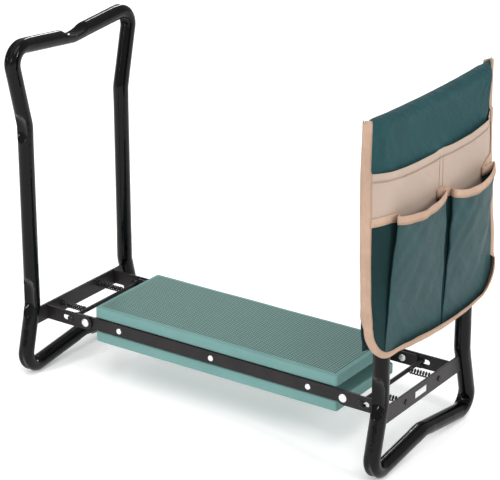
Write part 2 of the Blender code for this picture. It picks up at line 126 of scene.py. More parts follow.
class Value:
    """A shader socket that takes part in Python expressions."""

    def __init__(self, graph: "Graph", socket: bpy.types.NodeSocket) -> None:
        """Keeps the socket and the graph that it is in."""
        self.graph = graph
        self.socket = socket

    def _math(self, operation: str, first: "Number", second: "Number" = 0.0) -> "Value":
        """One Math node on two numbers or sockets."""
        return self.graph.node("ShaderNodeMath", {"operation": operation}, {0: first, 1: second})

    def __add__(self, other: "Number") -> "Value":
        """self + other."""
        return self._math("ADD", self, other)

    def __radd__(self, other: "Number") -> "Value":
        """other + self."""
        return self._math("ADD", other, self)

    def __sub__(self, other: "Number") -> "Value":
        """self - other."""
        return self._math("SUBTRACT", self, other)

    def __rsub__(self, other: "Number") -> "Value":
        """other - self."""
        return self._math("SUBTRACT", other, self)

    def __mul__(self, other: "Number") -> "Value":
        """self * other."""
        return self._math("MULTIPLY", self, other)

    def __rmul__(self, other: "Number") -> "Value":
        """other * self."""
        return self._math("MULTIPLY", other, self)

    def sine(self) -> "Value":
        """The sine of self, in radians."""
        return self._math("SINE", self)

    def span(self, low: float, high: float, to_low: float = 0.0, to_high: float = 1.0) -> "Value":
        """Maps one range to another, held at its ends."""
        ranges = {1: low, 2: high, 3: to_low, 4: to_high}
        return self.graph.node("ShaderNodeMapRange", {"clamp": True}, {0: self, **ranges})


Number = Union[float, Value]


class Graph:
    """The node tree of one material, with a Principled shader at its end."""

    def __init__(self, name: str) -> None:
        """Makes the material and finds its shader.

        Args:
            name: The material's name.
        """
        self.material = bpy.data.materials.new(name)
        self.material.use_nodes = True
        self.tree = self.material.node_tree
        self.shader = self.tree.nodes["Principled BSDF"]

    def node(
        self,
        kind: str,
        settings: Optional[dict[str, object]] = None,
        inputs: Optional[dict[Union[int, str], object]] = None,
        output: Union[int, str] = 0,
    ) -> Value:
        """Adds any node.

        Args:
            kind: The node's type.
            settings: Its properties, set first. A ramp's stops go under "stops".
            inputs: Values or links of its sockets, by index or name.
            output: The socket that is returned.

        Returns:
            The chosen output socket.
        """
        made = self.tree.nodes.new(kind)
        for key, setting in (settings or {}).items():
            if key == "stops":
                self._stops(made.color_ramp, setting)
            else:
                setattr(made, key, setting)
        for key, given in (inputs or {}).items():
            self.feed(made.inputs[key], given)
        return Value(self, made.outputs[output])

    @staticmethod
    def _stops(ramp: bpy.types.ColorRamp, stops: Sequence[tuple[float, Colour]]) -> None:
        """Sets a colour ramp's stops.

        Args:
            ramp: The ramp.
            stops: (place, colour) of each stop.
        """
        while len(ramp.elements) < len(stops):
            ramp.elements.new(1.0)
        for element, (place, colour) in zip(ramp.elements, stops):
            element.position = place
            element.color = (*colour, 1.0)

    def feed(self, socket: bpy.types.NodeSocket, given: object) -> None:
        """Links a Value to a socket, or sets the socket's own value.

        Args:
            socket: The socket.
            given: A Value, colour or number.
        """
        if isinstance(given, Value):
            self.tree.links.new(given.socket, socket)
        elif isinstance(given, tuple) and len(given) == 3 and socket.type == "RGBA":
            socket.default_value = (*given, 1.0)
        else:
            socket.default_value = given

    def place(self) -> Value:
        """Coordinates fixed to the piece, in metres in the frame's axes."""
        return self.node("ShaderNodeTexCoord", output="Object")

    def axes(self) -> tuple[Value, Value, Value]:
        """Splits the place into its three coordinates.

        Returns:
            The X, Y and Z values.
        """
        split = self.node("ShaderNodeSeparateXYZ", inputs={0: self.place()})
        outputs = split.socket.node.outputs
        return Value(self, outputs[0]), Value(self, outputs[1]), Value(self, outputs[2])

    def stretched(self, scale: Point, turn: Point = (0.0, 0.0, 0.0)) -> Value:
        """The place, turned and then scaled along each axis."""
        return self.node("ShaderNodeMapping", {"vector_type": "TEXTURE"}, {
            0: self.place(), "Rotation": turn, "Scale": tuple(1.0 / s for s in scale)})

    def noise(self, scale: float, detail: float = 3.0, rough: float = 0.5,
              vector: Optional[Value] = None) -> Value:
        """A noise value, with scale in repeats a metre."""
        return self.node("ShaderNodeTexNoise", {"noise_dimensions": "3D"}, {
            "Vector": vector or self.place(), "Scale": scale, "Detail": detail, "Roughness": rough})

    def blend(self, share: Number, first: object, second: object) -> Value:
        """Mixes two colours."""
        settings = {"data_type": "RGBA", "blend_type": "MIX"}
        return self.node("ShaderNodeMix", settings, {0: share, 6: first, 7: second}, output=2)

    def relief(self, height: Value, depth: float, base: Optional[Value] = None) -> Value:
        """A bump of a real depth, on top of another one if given.

        Args:
            height: The height, from 0 to 1.
            depth: Its depth in metres.
            base: The normal under it.

        Returns:
            The bumped normal.
        """
        inputs: dict[Union[int, str], object] = {"Strength": 1.0, "Distance": depth, "Height": height}
        if base is not None:
            inputs["Normal"] = base
        return self.node("ShaderNodeBump", inputs=inputs)

    def finish(self, **sockets: object) -> bpy.types.Material:
        """Feeds the shader's sockets.

        Args:
            **sockets: Values by the socket's name, with _ for a space.

        Returns:
            The material.
        """
        for name, given in sockets.items():
            self.feed(self.shader.inputs[name.replace("_", " ")], given)
        return self.material


@dataclass(frozen=True)
class Finish:
    """What every finish has: a name and its main colour."""

    name: str
    colour: Colour

    def shade(self, share: float) -> Colour:
        """The main colour, lighter or darker by a share."""
        return tuple(clamp(c * share) for c in self.colour)

    def build(self) -> bpy.types.Material:
        """Builds the material."""
        raise NotImplementedError


@dataclass(frozen=True)
class GlossPaint(Finish):
    """Stoved gloss paint on tube, with orange peel, dust and fine rubs."""

    roughness: float = 0.07

    def build(self) -> bpy.types.Material:
        """Builds the material.

        Returns:
            The material.
        """
        g = Graph(self.name)
        peel = g.noise(420.0, 2.0)
        ripple = g.noise(60.0, 2.0)
        dust = g.noise(950.0, 4.0, 0.7).span(0.62, 0.75)
        rub = g.noise(9.0, 5.0, 0.65).span(0.52, 0.72)
        colour = g.blend(dust * rub * 0.35, self.colour, (0.05, 0.05, 0.052))
        colour = g.blend(g.noise(24.0).span(0.3, 0.7, 0.0, 0.4), colour, self.shade(0.55))
        rough = rub * 0.10 + peel * 0.05 + self.roughness
        normal = g.relief(ripple, 0.00042)
        normal = g.relief(peel, 0.00002, normal)
        return g.finish(Base_Color=colour, Roughness=rough, Normal=normal, IOR=1.4, Specular_IOR_Level=0.26)


@dataclass(frozen=True)
class SatinPaint(Finish):
    """Textured satin powder coat on flat steel, worn a little on raised grains."""

    roughness: float = 0.42

    def build(self) -> bpy.types.Material:
        """Builds the material.

        Returns:
            The material.
        """
        g = Graph(self.name)
        grain = g.noise(1500.0, 3.0, 0.6)
        cloud = g.noise(35.0, 4.0, 0.55)
        scuff = g.noise(240.0, 6.0, 0.75, g.stretched((0.35, 1.0, 1.0))).span(0.64, 0.74)
        colour = g.blend(cloud.span(0.35, 0.7), self.shade(0.8), self.shade(1.25))
        colour = g.blend(scuff * 0.20, colour, (0.10, 0.095, 0.095))
        rough = cloud * 0.12 + scuff * 0.08 + self.roughness
        normal = g.relief(grain, 0.00006)
        return g.finish(Base_Color=colour, Roughness=rough, Normal=normal, Specular_IOR_Level=0.22)


@dataclass(frozen=True)
class BrightZinc(Finish):
    """Tumbled zinc-plated rivet steel with fine turned rings and dull spots."""

    def build(self) -> bpy.types.Material:
        """Builds the material.

        Returns:
            The material.
        """
        g = Graph(self.name)
        spot = g.noise(700.0, 4.0, 0.6)
        swirl = g.noise(2600.0, 2.0, 0.5, g.stretched((1.0, 0.15, 1.0)))
        colour = g.blend(spot.span(0.35, 0.75), self.shade(1.0), self.shade(0.72))
        rough = spot.span(0.3, 0.8, 0.24, 0.46)
        return g.finish(Base_Color=colour, Metallic=0.6, Roughness=rough, Normal=g.relief(swirl, 0.00002))


@dataclass(frozen=True)
class BlackSpring(Finish):
    """Oil-blackened spring wire, with drawn streaks and bare steel on rubbed spots."""

    def build(self) -> bpy.types.Material:
        """Builds the material.

        Returns:
            The material.
        """
        g = Graph(self.name)
        streak = g.noise(900.0, 4.0, 0.6, g.stretched((1.0, 0.2, 1.0)))
        worn = g.noise(160.0, 3.0).span(0.60, 0.72)
        colour = g.blend(worn * 0.6, self.colour, (0.22, 0.21, 0.20))
        rough = streak.span(0.3, 0.7, 0.28, 0.5)
        return g.finish(Base_Color=colour, Metallic=worn * 0.5, Roughness=rough,
                        Normal=g.relief(streak, 0.00002), Specular_IOR_Level=0.3)


@dataclass(frozen=True)
class MouldedPlastic(Finish):
    """Spark-eroded moulded plastic."""

    roughness: float = 0.48

    def build(self) -> bpy.types.Material:
        """Builds the material.

        Returns:
            The material.
        """
        g = Graph(self.name)
        grain = g.noise(2200.0, 3.0, 0.65)
        cloud = g.noise(180.0, 2.0)
        colour = g.blend(cloud.span(0.3, 0.7), self.shade(0.75), self.shade(1.3))
        rough = grain.span(0.2, 0.8, self.roughness - 0.06, self.roughness + 0.08)
        return g.finish(Base_Color=colour, Roughness=rough, Normal=g.relief(grain, 0.00004),
                        Specular_IOR_Level=0.3)


@dataclass(frozen=True)
class FibreBoard(Finish):
    """Dark hardboard with pressed fibres."""

    def build(self) -> bpy.types.Material:
        """Builds the material.

        Returns:
            The material.
        """
        g = Graph(self.name)
        fibre = g.noise(420.0, 6.0, 0.8, g.stretched((0.2, 1.0, 1.0)))
        colour = g.blend(fibre.span(0.35, 0.7), self.shade(0.6), self.shade(1.7))
        return g.finish(Base_Color=colour, Roughness=fibre.span(0.2, 0.8, 0.7, 0.9),
                        Normal=g.relief(fibre, 0.0001))


@dataclass(frozen=True)
class BlankPaper(Finish):
    """A laminated paper sticker with nothing printed on it."""

    def build(self) -> bpy.types.Material:
        """Builds the material.

        Returns:
            The material.
        """
        g = Graph(self.name)
        fibre = g.noise(900.0, 5.0, 0.7)
        stain = g.noise(60.0, 3.0)
        colour = g.blend(stain.span(0.4, 0.75), self.colour, self.shade(0.86))
        return g.finish(Base_Color=colour, Roughness=fibre.span(0.3, 0.7, 0.3, 0.42),
                        Normal=g.relief(fibre, 0.00002))


@dataclass(frozen=True)
class ClosedCellFoam(Finish):
    """Moulded EVA foam. The textured face carries fine raised pips on a slanting grid, with painted shade
    between the pips and painted highlights on their tops.
    """

    pitch: float = 0.0
    pip_depth: float = 0.0004

    def build(self) -> bpy.types.Material:
        """Builds the material.

        Returns:
            The material.
        """
        g = Graph(self.name)
        cells = g.noise(1400.0, 4.0, 0.7)
        cloud = g.noise(16.0, 4.0, 0.6)
        streak = g.noise(130.0, 3.0, 0.6, g.stretched((0.15, 1.0, 1.0)))
        colour = g.blend(cloud.span(0.3, 0.72), self.shade(0.93), self.shade(1.07))
        colour = g.blend(streak.span(0.35, 0.7, 0.0, 0.35), colour, self.shade(0.86))
        normal = g.relief(cells, 0.00007)
        if self.pitch:
            x, y, _ = g.axes()
            turn = math.pi / self.pitch
            pips = ((x + y) * turn).sine() * ((x - y) * turn).sine()
            high = pips.span(-0.35, 0.55)
            # Painted shade between the pips (colour down to 0.30) and painted highlight on their tops (up to
            # 1.7); the pip bump below is the real relief.
            colour = g.blend(high, self.shade(0.30), colour)
            colour = g.blend(pips.span(0.4, 1.0, 0.0, 0.8), colour, self.shade(1.7))
            normal = g.relief(high, self.pip_depth, normal)
        rough = cloud.span(0.2, 0.8, 0.62, 0.78)
        return g.finish(Base_Color=colour, Roughness=rough, Normal=normal, Specular_IOR_Level=0.2)


class Weave(Enum):
    """How a cloth's threads cross."""

    PLAIN = "plain"
    TWILL = "twill"


@dataclass(frozen=True)
class WovenCloth(Finish):
    """Coated polyester or tape: crossing threads, soft mottling and faint creases, with painted highlight
    streaks along the creases.
    """

    thread: float = 0.0006
    weave: Weave = Weave.PLAIN
    mottle: float = 0.16
    roughness: float = 0.62
    sheen: float = 0.02
    fuzz: float = 0.2
    gloss: float = 0.14
    # Strength of the painted highlight streaks along the creases.
    streak: float = 0.25
    crumple: float = 0.0022
    slub: float = 0.4

    def build(self) -> bpy.types.Material:
        """Builds the material.

        Returns:
            The material.
        """
        g = Graph(self.name)
        x, y, z = g.axes()
        turn = 2 * math.pi / self.thread
        across = (x + y) * turn
        lean = z * turn if self.weave is Weave.PLAIN else (z + y * 0.5) * turn
        threads = across.sine() * lean.sine()
        slub = g.noise(220.0, 3.0, 0.6, g.stretched((1.0, 1.0, 0.12)))
        cloud = g.noise(20.0, 5.0, 0.62)
        crease = g.noise(52.0, 3.0, 0.6, g.stretched((1.0, 1.0, 0.30), (0.75, 0.0, 0.0)))
        dust = g.noise(1300.0, 3.0, 0.7).span(0.58, 0.78)
        colour = g.blend(cloud.span(0.28, 0.74), self.shade(1 - self.mottle), self.shade(1 + self.mottle))
        colour = g.blend(slub.span(0.4, 0.72, 0.0, self.slub), colour, self.shade(0.84))
        colour = g.blend(threads.span(-1.0, 1.0, 0.0, 0.3), colour, self.shade(1.18))
        colour = g.blend(dust * self.fuzz * 0.35, colour, tuple(lerp(c, 0.8, 0.3) for c in self.colour))
        # Painted highlight: lighter streaks along the crease noise stand in for sheen on the folds; the
        # crease bump below is real relief.
        colour = g.blend(crease.span(0.50, 0.72, 0.0, self.streak), colour, self.shade(1.75))
        normal = g.relief(crease, self.crumple)
        normal = g.relief(threads, self.thread * 0.16, normal)
        rough = cloud.span(0.2, 0.8, self.roughness - 0.06, self.roughness + 0.08)
        return g.finish(Base_Color=colour, Roughness=rough, Normal=normal, Sheen_Weight=self.sheen,
                        Sheen_Roughness=0.4, Specular_IOR_Level=self.gloss)


@dataclass(frozen=True)
class PaleFloor(Finish):
    """A plain pale studio floor."""

    def build(self) -> bpy.types.Material:
        """Builds the material.

        Returns:
            The material.
        """
        g = Graph(self.name)
        cloud = g.noise(3.0, 2.0)
        colour = g.blend(cloud.span(0.3, 0.7), self.colour, self.shade(0.99))
        return g.finish(Base_Color=colour, Roughness=0.9, Specular_IOR_Level=0.1,
                        Emission_Color=(1.0, 1.0, 1.0), Emission_Strength=0.24)


class Coat(Enum):
    """Each finish of the kneeler, with the record's slot that it stands for."""

    TUBE = (GlossPaint("gloss_tube_paint", (0.0025, 0.0025, 0.0031)), "gloss_tube")
    BAR = (SatinPaint("satin_bar_paint", (0.018, 0.0155, 0.0165)), "satin_bar")
    PLATE = (SatinPaint("satin_plate_paint", (0.026, 0.023, 0.024), 0.36), "satin_bar")
    RIVET = (BrightZinc("zinc_rivet", (0.93, 0.91, 0.93)), "rivet")
    SPRING = (BlackSpring("spring_wire", (0.014, 0.014, 0.014)), "spring_steel")
    PLASTIC = (MouldedPlastic("black_plastic", (0.010, 0.010, 0.010)), "black_plastic")
    BOARD = (FibreBoard("backing_board", (0.020, 0.018, 0.017)), "board")
    LABEL = (BlankPaper("blank_sticker", (0.72, 0.72, 0.71)), "label")
    FOAM_SIDE = (ClosedCellFoam("foam_side", (0.165, 0.318, 0.303)), "eva_foam")
    FOAM_FACE = (ClosedCellFoam("foam_face", (0.205, 0.352, 0.325), 0.0037), "eva_foam")
    GREEN = (WovenCloth("green_polyester", (0.0185, 0.0680, 0.0745), 0.0006, gloss=0.10,
                        crumple=0.0060, streak=0.30), "green_cloth")
    POCKET = (WovenCloth("green_pocket_polyester", (0.0175, 0.0600, 0.0640), 0.0006, roughness=0.5,
                         gloss=0.25, streak=0.36, crumple=0.0070), "green_cloth")
    # Painted shade: a darker copy of the green cloth, laid on the pockets' pleat and fold faces where shade
    # falls.
    PLEAT_SHADE = (WovenCloth("green_polyester_painted_pleat_shade", (0.0085, 0.0300, 0.0320), 0.0006, gloss=0.08),
             "green_cloth")
    BEIGE = (WovenCloth("beige_polyester", (0.485, 0.380, 0.312), 0.0006, mottle=0.05, streak=0.06,
                        crumple=0.0012, slub=0.12), "beige_cloth")
    TAPE = (WovenCloth("binding_tape", (0.52, 0.355, 0.262), 0.0010, Weave.TWILL, 0.16, 0.8, streak=0.15),
            "binding_tape")
    THREAD = (WovenCloth("sewing_thread", (0.40, 0.255, 0.175), 0.0004, Weave.TWILL, 0.1, 0.7),
              "binding_tape")

    def __init__(self, finish: Finish, slot: str) -> None:
        """Keeps the finish and its slot.

        Args:
            finish: The finish.
            slot: The record's slot.
        """
        self.finish = finish
        self.slot = slot
        self._made: Optional[bpy.types.Material] = None

    @property
    def material(self) -> bpy.types.Material:
        """The finish's material, built once.

        Returns:
            The material.
        """
        if self._made is None:
            self._made = self.finish.build()
        return self._made


# ---------------------------------------------------------------- mesh building


def placed(name: str, data: bpy.types.ID) -> bpy.types.Object:
    """Puts a new object into the scene.

    Args:
        name: The object's name.
        data: Its mesh, light or camera.

    Returns:
        The object.
    """
    made = bpy.data.objects.new(name, data)
    bpy.context.scene.collection.objects.link(made)
    return made


def around(steps: int) -> list[float]:
    """Even angles round a full turn, from zero."""
    return [2 * math.pi * k / steps for k in range(steps)]


def corners(node: str) -> tuple[Vector, Vector]:
    """The low and high corners of a CAD node's box."""
    low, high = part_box(node)
    return Vector(low), Vector(high)


def mesh_object(name: str, points: Iterable[Sequence[float]],
                faces: Iterable[Sequence[int]]) -> bpy.types.Object:
    """Makes a smooth-shaded mesh object.

    Args:
        name: The object's name.
        points: Its points.
        faces: Point numbers of each face.

    Returns:
        The object.
    """
    mesh = bpy.data.meshes.new(name)
    mesh.from_pydata([tuple(p) for p in points], [], [tuple(f) for f in faces])
    mesh.validate()
    mesh.shade_smooth()
    return placed(name, mesh)


def loft(
    name: str,
    rows: Sequence[Sequence[Sequence[float]]],
    ring: bool = False,
    loop: bool = False,
    capped: bool = False,
) -> bpy.types.Object:
    """A mesh through rows of points.

    Args:
        name: The object's name.
        rows: Rows of equal length.
        ring: Whether each row closes on itself.
        loop: Whether the last row joins the first.
        capped: Whether the first and last rows get end faces.

    Returns:
        The object.
    """
    width = len(rows[0])
    faces: list[tuple[int, ...]] = []
    for r in range(len(rows) if loop else len(rows) - 1):
        here, there = r * width, (r + 1) % len(rows) * width
        for c in range(width if ring else width - 1):
            d = (c + 1) % width
            faces.append((here + c, here + d, there + d, there + c))
    if capped:
        last = (len(rows) - 1) * width
        faces.append(tuple(reversed(range(width))))
        faces.append(tuple(range(last, last + width)))
    return mesh_object(name, [p for row in rows for p in row], faces)


def thicken(piece: bpy.types.Object, thickness: float, offset: float = 0.0) -> None:
    """Gives an open sheet its real thickness.

    Args:
        piece: The sheet.
        thickness: Its thickness.
        offset: Which side it grows to, from -1 to 1.
    """
    solid = piece.modifiers.new("cloth_thickness", "SOLIDIFY")
    solid.thickness = thickness
    solid.offset = offset


def eased(points: list[Vector], passes: int) -> list[Vector]:
    """Rounds the folds of an open line of points, with its ends held.

    Args:
        points: The line.
        passes: How many times it is rounded.

    Returns:
        The rounded line.
    """
    for _ in range(passes):
        inner = [(a + b * 2 + c) / 4 for a, b, c in zip(points, points[1:], points[2:])]
        points = [points[0], *inner, points[-1]]
    return points


def ruffle(place: Sequence[float], scale: Point, seed: float) -> float:
    """Soft noise from -1 to 1, with its own scale along each axis."""
    at = Vector((place[0] * scale[0] + seed, place[1] * scale[1] - seed, place[2] * scale[2] + 2 * seed))
    return noise.noise(at)


class Assembly:
    """What every sub-assembly shares: dressing pieces and fixing them to a body."""

    def settle(
        self,
        piece: bpy.types.Object,
        coat: Coat,
        body: str,
        replaces: Sequence[str] = (),
    ) -> bpy.types.Object:
        """Dresses a piece, fixes it to a body and reports it.

        Args:
            piece: The new piece, in place at rest.
            coat: Its finish.
            body: The frame's body that it moves with.
            replaces: CAD nodes that it stands for.

        Returns:
            The piece.
        """
        if not piece.data.materials:
            piece.data.materials.append(coat.material)
        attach(piece, body)
        if replaces:
            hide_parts(*replaces)
        LOG.info("%s rides on %s, finish %s", piece.name, body, coat.name.lower())
        return piece

    def edged(self, node: str, coat: Coat, width: float) -> bpy.types.Object:
        """A pressed or sawn plate with its edges broken, in place of its plain node.

        Args:
            node: The CAD node.
            coat: Its finish.
            width: Width of the broken edge.

        Returns:
            The piece.
        """
        source = frame["nodes"][node]
        shape = bmesh.new()
        shape.from_mesh(source.data)
        shape.transform(source.matrix_world)
        bmesh.ops.remove_doubles(shape, verts=shape.verts, dist=2e-6)
        bmesh.ops.dissolve_limit(shape, angle_limit=math.radians(1.0), verts=shape.verts, edges=shape.edges)
        sharp = [e for e in shape.edges if len(e.link_faces) == 2 and e.calc_face_angle() > math.radians(40)]
        bmesh.ops.bevel(shape, geom=sharp, offset=width, segments=2, profile=0.6, affect="EDGES",
                        clamp_overlap=True)
        mesh = bpy.data.meshes.new(f"{node}_shape")
        shape.to_mesh(mesh)
        shape.free()
        mesh.shade_smooth()
        mesh.set_sharp_from_angle(angle=math.radians(42))
        made = placed(f"{node}_shape", mesh)
        weighted = made.modifiers.new("even_shading", "WEIGHTED_NORMAL")
        weighted.keep_sharp = True
        return self.settle(made, coat, source["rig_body"], [node])


class Turned:
    """A turned piece along an axis, such as a rivet or a rod."""

    @staticmethod
    def build(name: str, profile: Sequence[tuple[float, float]], centre: Point, axis: Point,
              steps: int = 40) -> bpy.types.Object:
        """Turns a profile round an axis.

        Args:
            name: The object's name.
            profile: (radius, height) along the profile.
            centre: A point on the axis.
            axis: The axis's direction.
            steps: Points round the axis.

        Returns:
            The object.
        """
        turn = Vector((0, 0, 1)).rotation_difference(Vector(axis)).to_matrix()
        rows = []
        for radius, height in profile:
            row = []
            for angle in around(steps):
                local = Vector((radius * math.cos(angle), radius * math.sin(angle), height))
                row.append(turn @ local + Vector(centre))
            rows.append(row)
        return loft(name, rows, ring=True, capped=profile[0] != profile[-1])


def middle_of(node: str) -> Vector:
    """The middle of a CAD node's box."""
    low, high = corners(node)
    return (low + high) / 2


# ---------------------------------------------------------------- studio


@dataclass
class Studio:
    """The pale floor, the soft lights and the camera."""

    azimuth: float = 34.404
    elevation: float = 21.666
    distance: float = 2.828
    target: Point = (0.00215, 0.0, 0.232933)
    lens: float = 150.57
    floor_half: float = 14.0
    sun_power: float = 1.35
    sun_spread: float = 50.0
    sky_power: float = 0.55

    def build(self) -> None:
        """Makes the floor, the lights, the sky and the camera."""
        self._floor()
        self._camera()
        self._lights()
        bpy.context.scene.view_settings.view_transform = "Standard"

    def _floor(self) -> None:
        """The floor."""
        half, low = self.floor_half, -0.0004
        corners = [(-half, -half, low), (half, -half, low), (half, half, low), (-half, half, low)]
        floor = mesh_object("studio_floor", corners, [(0, 1, 2, 3)])
        floor.data.materials.append(PaleFloor("pale_floor", (0.90, 0.90, 0.90)).build())

    def _camera(self) -> None:
        """The camera, at the viewing angle of a low three-quarter view."""
        azimuth, elevation = math.radians(self.azimuth), math.radians(self.elevation)
        back = Vector((math.sin(azimuth) * math.cos(elevation), -math.cos(azimuth) * math.cos(elevation),
                       math.sin(elevation)))
        camera = placed("camera", bpy.data.cameras.new("camera"))
        camera.data.lens = self.lens
        camera.location = Vector(self.target) + back * self.distance
        camera.rotation_euler = back.to_track_quat("Z", "Y").to_euler()
        bpy.context.scene.camera = camera

    def _softbox(self, name: str, place: Point, size: tuple[float, float], power: float) -> None:
        """An area light that faces the kneeler.

        Args:
            name: The light's name.
            place: Where it stands.
            size: Its width and height.
            power: Its power in watts.
        """
        lamp = bpy.data.lights.new(name, "AREA")
        lamp.shape = "RECTANGLE"
        lamp.size, lamp.size_y = size
        lamp.energy = power
        holder = placed(name, lamp)
        holder.location = place
        holder.rotation_euler = (Vector(place) - Vector(self.target)).to_track_quat("Z", "Y").to_euler()

    def _lights(self) -> None:
        """A high soft sun, three softboxes and a pale sky."""
        sun = bpy.data.lights.new("soft_sun", "SUN")
        sun.energy = self.sun_power
        sun.angle = math.radians(self.sun_spread)
        holder = placed("soft_sun", sun)
        holder.rotation_euler = Vector((0.35, -0.35, 1.0)).to_track_quat("Z", "Y").to_euler()
        self._softbox("front_softbox", (-0.9, -2.6, 1.3), (0.20, 0.9), 25.0)
        self._softbox("bag_softbox", (2.7, -0.4, 1.5), (0.22, 1.1), 28.0)
        self._softbox("rim_softbox", (-1.6, 2.2, 1.8), (0.25, 1.4), 16.0)
        world = bpy.data.worlds.new("pale_sky")
        world.use_nodes = True
        background = world.node_tree.nodes["Background"]
        background.inputs[0].default_value = (1.0, 1.0, 1.0, 1.0)
        background.inputs[1].default_value = self.sky_power
        bpy.context.scene.world = world


# ---------------------------------------------------------------- side frames


@dataclass(frozen=True)
class Dent:
    """A press mark on one side of a bend: where the tube's wall is pushed in."""

    at: float
    facing: Vector
    depth: float
    reach: float
    hollow: float = 0.0
    crisp: float = 2.0
    groove: float = 0.0


@dataclass(frozen=True)
class Bend:
    """One corner of the side frame's centre line."""

    y: float
    z: float
    radius: float
    crush: float
    reach: float
    hollow: float = 0.0
    groove: float = 0.0
    shift: float = 0.0


@dataclass
class SideFrame(Assembly):
    """One closed loop of bent tube with its press marks, cross plate, arms and welds."""

    side: str
    tube: float = 0.0110
    leg_y: float = 0.1065
    rings: int = 40
    step: float = 0.0022

    def build(self) -> None:
        """Makes the tube, the plates and the welds."""
        low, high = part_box(f"{self.side}_side_frame")
        self.x = (low[0] + high[0]) / 2
        self.outward = -1.0 if self.side == "left" else 1.0
        self.body = f"{self.side}_frame"
        self.base = low[2]
        self._tube()
        self.edged(f"{self.side}_cross_plate", Coat.PLATE, 0.0005)
        for end in ("front", "rear"):
            self.edged(f"{self.side}_{end}_arm", Coat.BAR, 0.0004)
            self.edged(f"{self.side}_{end}_spring_plug", Coat.PLASTIC, 0.00025)
        self._welds()

    def _bends(self) -> list[Bend]:
        """The corners of the loop, from the handle's dip round to the other side.

        Returns:
            The corners in order.
        """
        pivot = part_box(f"{self.side}_lock_rod")
        level = (pivot[0][2] + pivot[1][2]) / 2
        half = [
            Bend(0.1335, level + 0.4010, 0.022, 0.0040, 0.022, 0.0014, 0.0022),
            Bend(self.leg_y, level + 0.2863, 0.040, 0.0042, 0.021, 0.0034),
            Bend(self.leg_y, level + 0.0205, 0.040, 0.0054, 0.029, 0.0044, 0.0, 0.013),
            Bend(0.1314, level - 0.0762, 0.022, 0.0056, 0.020, 0.0018, 0.0036),
        ]
        mirrored = [replace(b, y=-b.y, shift=-b.shift) for b in reversed(half)]
        dip = Bend(0.0, level + 0.3883, 0.030, 0.0092, 0.026, 0.0030)
        rise = Bend(0.0, level - 0.0584, 0.030, 0.0056, 0.022, 0.0014)
        return [dip, *half, rise, *mirrored]

    def _centre_line(self) -> tuple[list[Vector], list[Dent]]:
        """The loop's centre line at even steps, and the press marks along it.

        Returns:
            Points in Y and Z, and the dents.
        """
        bends = self._bends()
        fillets = []
        for i, bend in enumerate(bends):
            here = Vector((bend.y, bend.z))
            before = bends[i - 1]
            after = bends[(i + 1) % len(bends)]
            back = (Vector((before.y, before.z)) - here).normalized()
            ahead = (Vector((after.y, after.z)) - here).normalized()
            inside = back.angle(ahead)
            inward = (back + ahead).normalized()
            cut = bend.radius / math.tan(inside / 2)
            middle = here + inward * bend.radius / math.sin(inside / 2)
            fillets.append((bend, here + back * cut, here + ahead * cut, middle, inward))
        points: list[Vector] = []
        dents: list[Dent] = []
        travelled = 0.0
        for i, (bend, start, end, middle, inward) in enumerate(fillets):
            turn = (start - middle).angle_signed(end - middle)
            length = abs(turn) * bend.radius
            count = max(2, round(length / self.step))
            for k in range(count):
                angle = -turn * k / count
                spoke = start - middle
                turned = Vector((spoke.x * math.cos(angle) - spoke.y * math.sin(angle),
                                 spoke.x * math.sin(angle) + spoke.y * math.cos(angle)))
                points.append(middle + turned)
            middle_at = travelled + length / 2
            dents.append(Dent(middle_at - bend.shift, inward, bend.crush, bend.reach, bend.hollow, 3.0))
            if bend.groove:
                dents.append(Dent(middle_at, -inward, bend.groove * 0.3, bend.reach * 1.3,
                                  groove=bend.groove))
            travelled += length
            following = fillets[(i + 1) % len(fillets)][1]
            run = (following - end).length
            count = max(1, round(run / self.step))
            points += [end.lerp(following, k / count) for k in range(count)]
            travelled += run
        self.length = travelled
        return points, dents

    def _pressed(self, spoke: Vector, at: float, dents: Sequence[Dent]) -> Vector:
        """Moves a point of the wall where a press has flattened it.

        Args:
            spoke: From the centre line to the wall, in X, Y and Z.
            at: Distance along the tube.
            dents: The press marks.

        Returns:
            The spoke after pressing.
        """
        for dent in dents:
            away = abs(at - dent.at)
            away = min(away, self.length - away) / dent.reach
            if away >= 1.0:
                continue
            share = (1 - away ** dent.crisp) ** 0.7
            facing = Vector((0.0, dent.facing.x, dent.facing.y))
            height = spoke.dot(facing)
            if dent.groove and height > 0:
                narrow = math.exp(-(spoke.x / (self.tube * 0.34)) ** 2)
                spoke = spoke - facing * (dent.groove * share * narrow)
            limit = self.tube - dent.depth * share
            if height > limit:
                across = abs(spoke.x) / self.tube
                pressed = limit - dent.hollow * share * (1 - across * across)
                kept = (height - limit) * 0.07
                spoke = spoke + facing * (pressed + kept - height)
            spoke = Vector((spoke.x * (1 + 0.035 * share * dent.depth / 0.005), spoke.y, spoke.z))
        return spoke

    def _tube(self) -> None:
        """The bent tube."""
        points, dents = self._centre_line()
        count = len(points)
        rows = []
        travelled = 0.0
        for i, point in enumerate(points):
            ahead = (points[(i + 1) % count] - points[i - 1]).normalized()
            side = Vector((0.0, -ahead.y, ahead.x))
            row = []
            for angle in around(self.rings):
                spoke = Vector((self.tube * math.sin(angle), 0, 0)) + side * (self.tube * math.cos(angle))
                spoke = self._pressed(spoke, travelled, dents)
                place = spoke + Vector((self.x, point.x, point.y))
                row.append((place.x, place.y, max(place.z, self.base)))
            rows.append(row)
            travelled += (points[(i + 1) % count] - point).length
        tube = loft(f"{self.side}_bent_tube", rows, ring=True, loop=True)
        self.settle(tube, Coat.TUBE, self.body, [f"{self.side}_side_frame"])

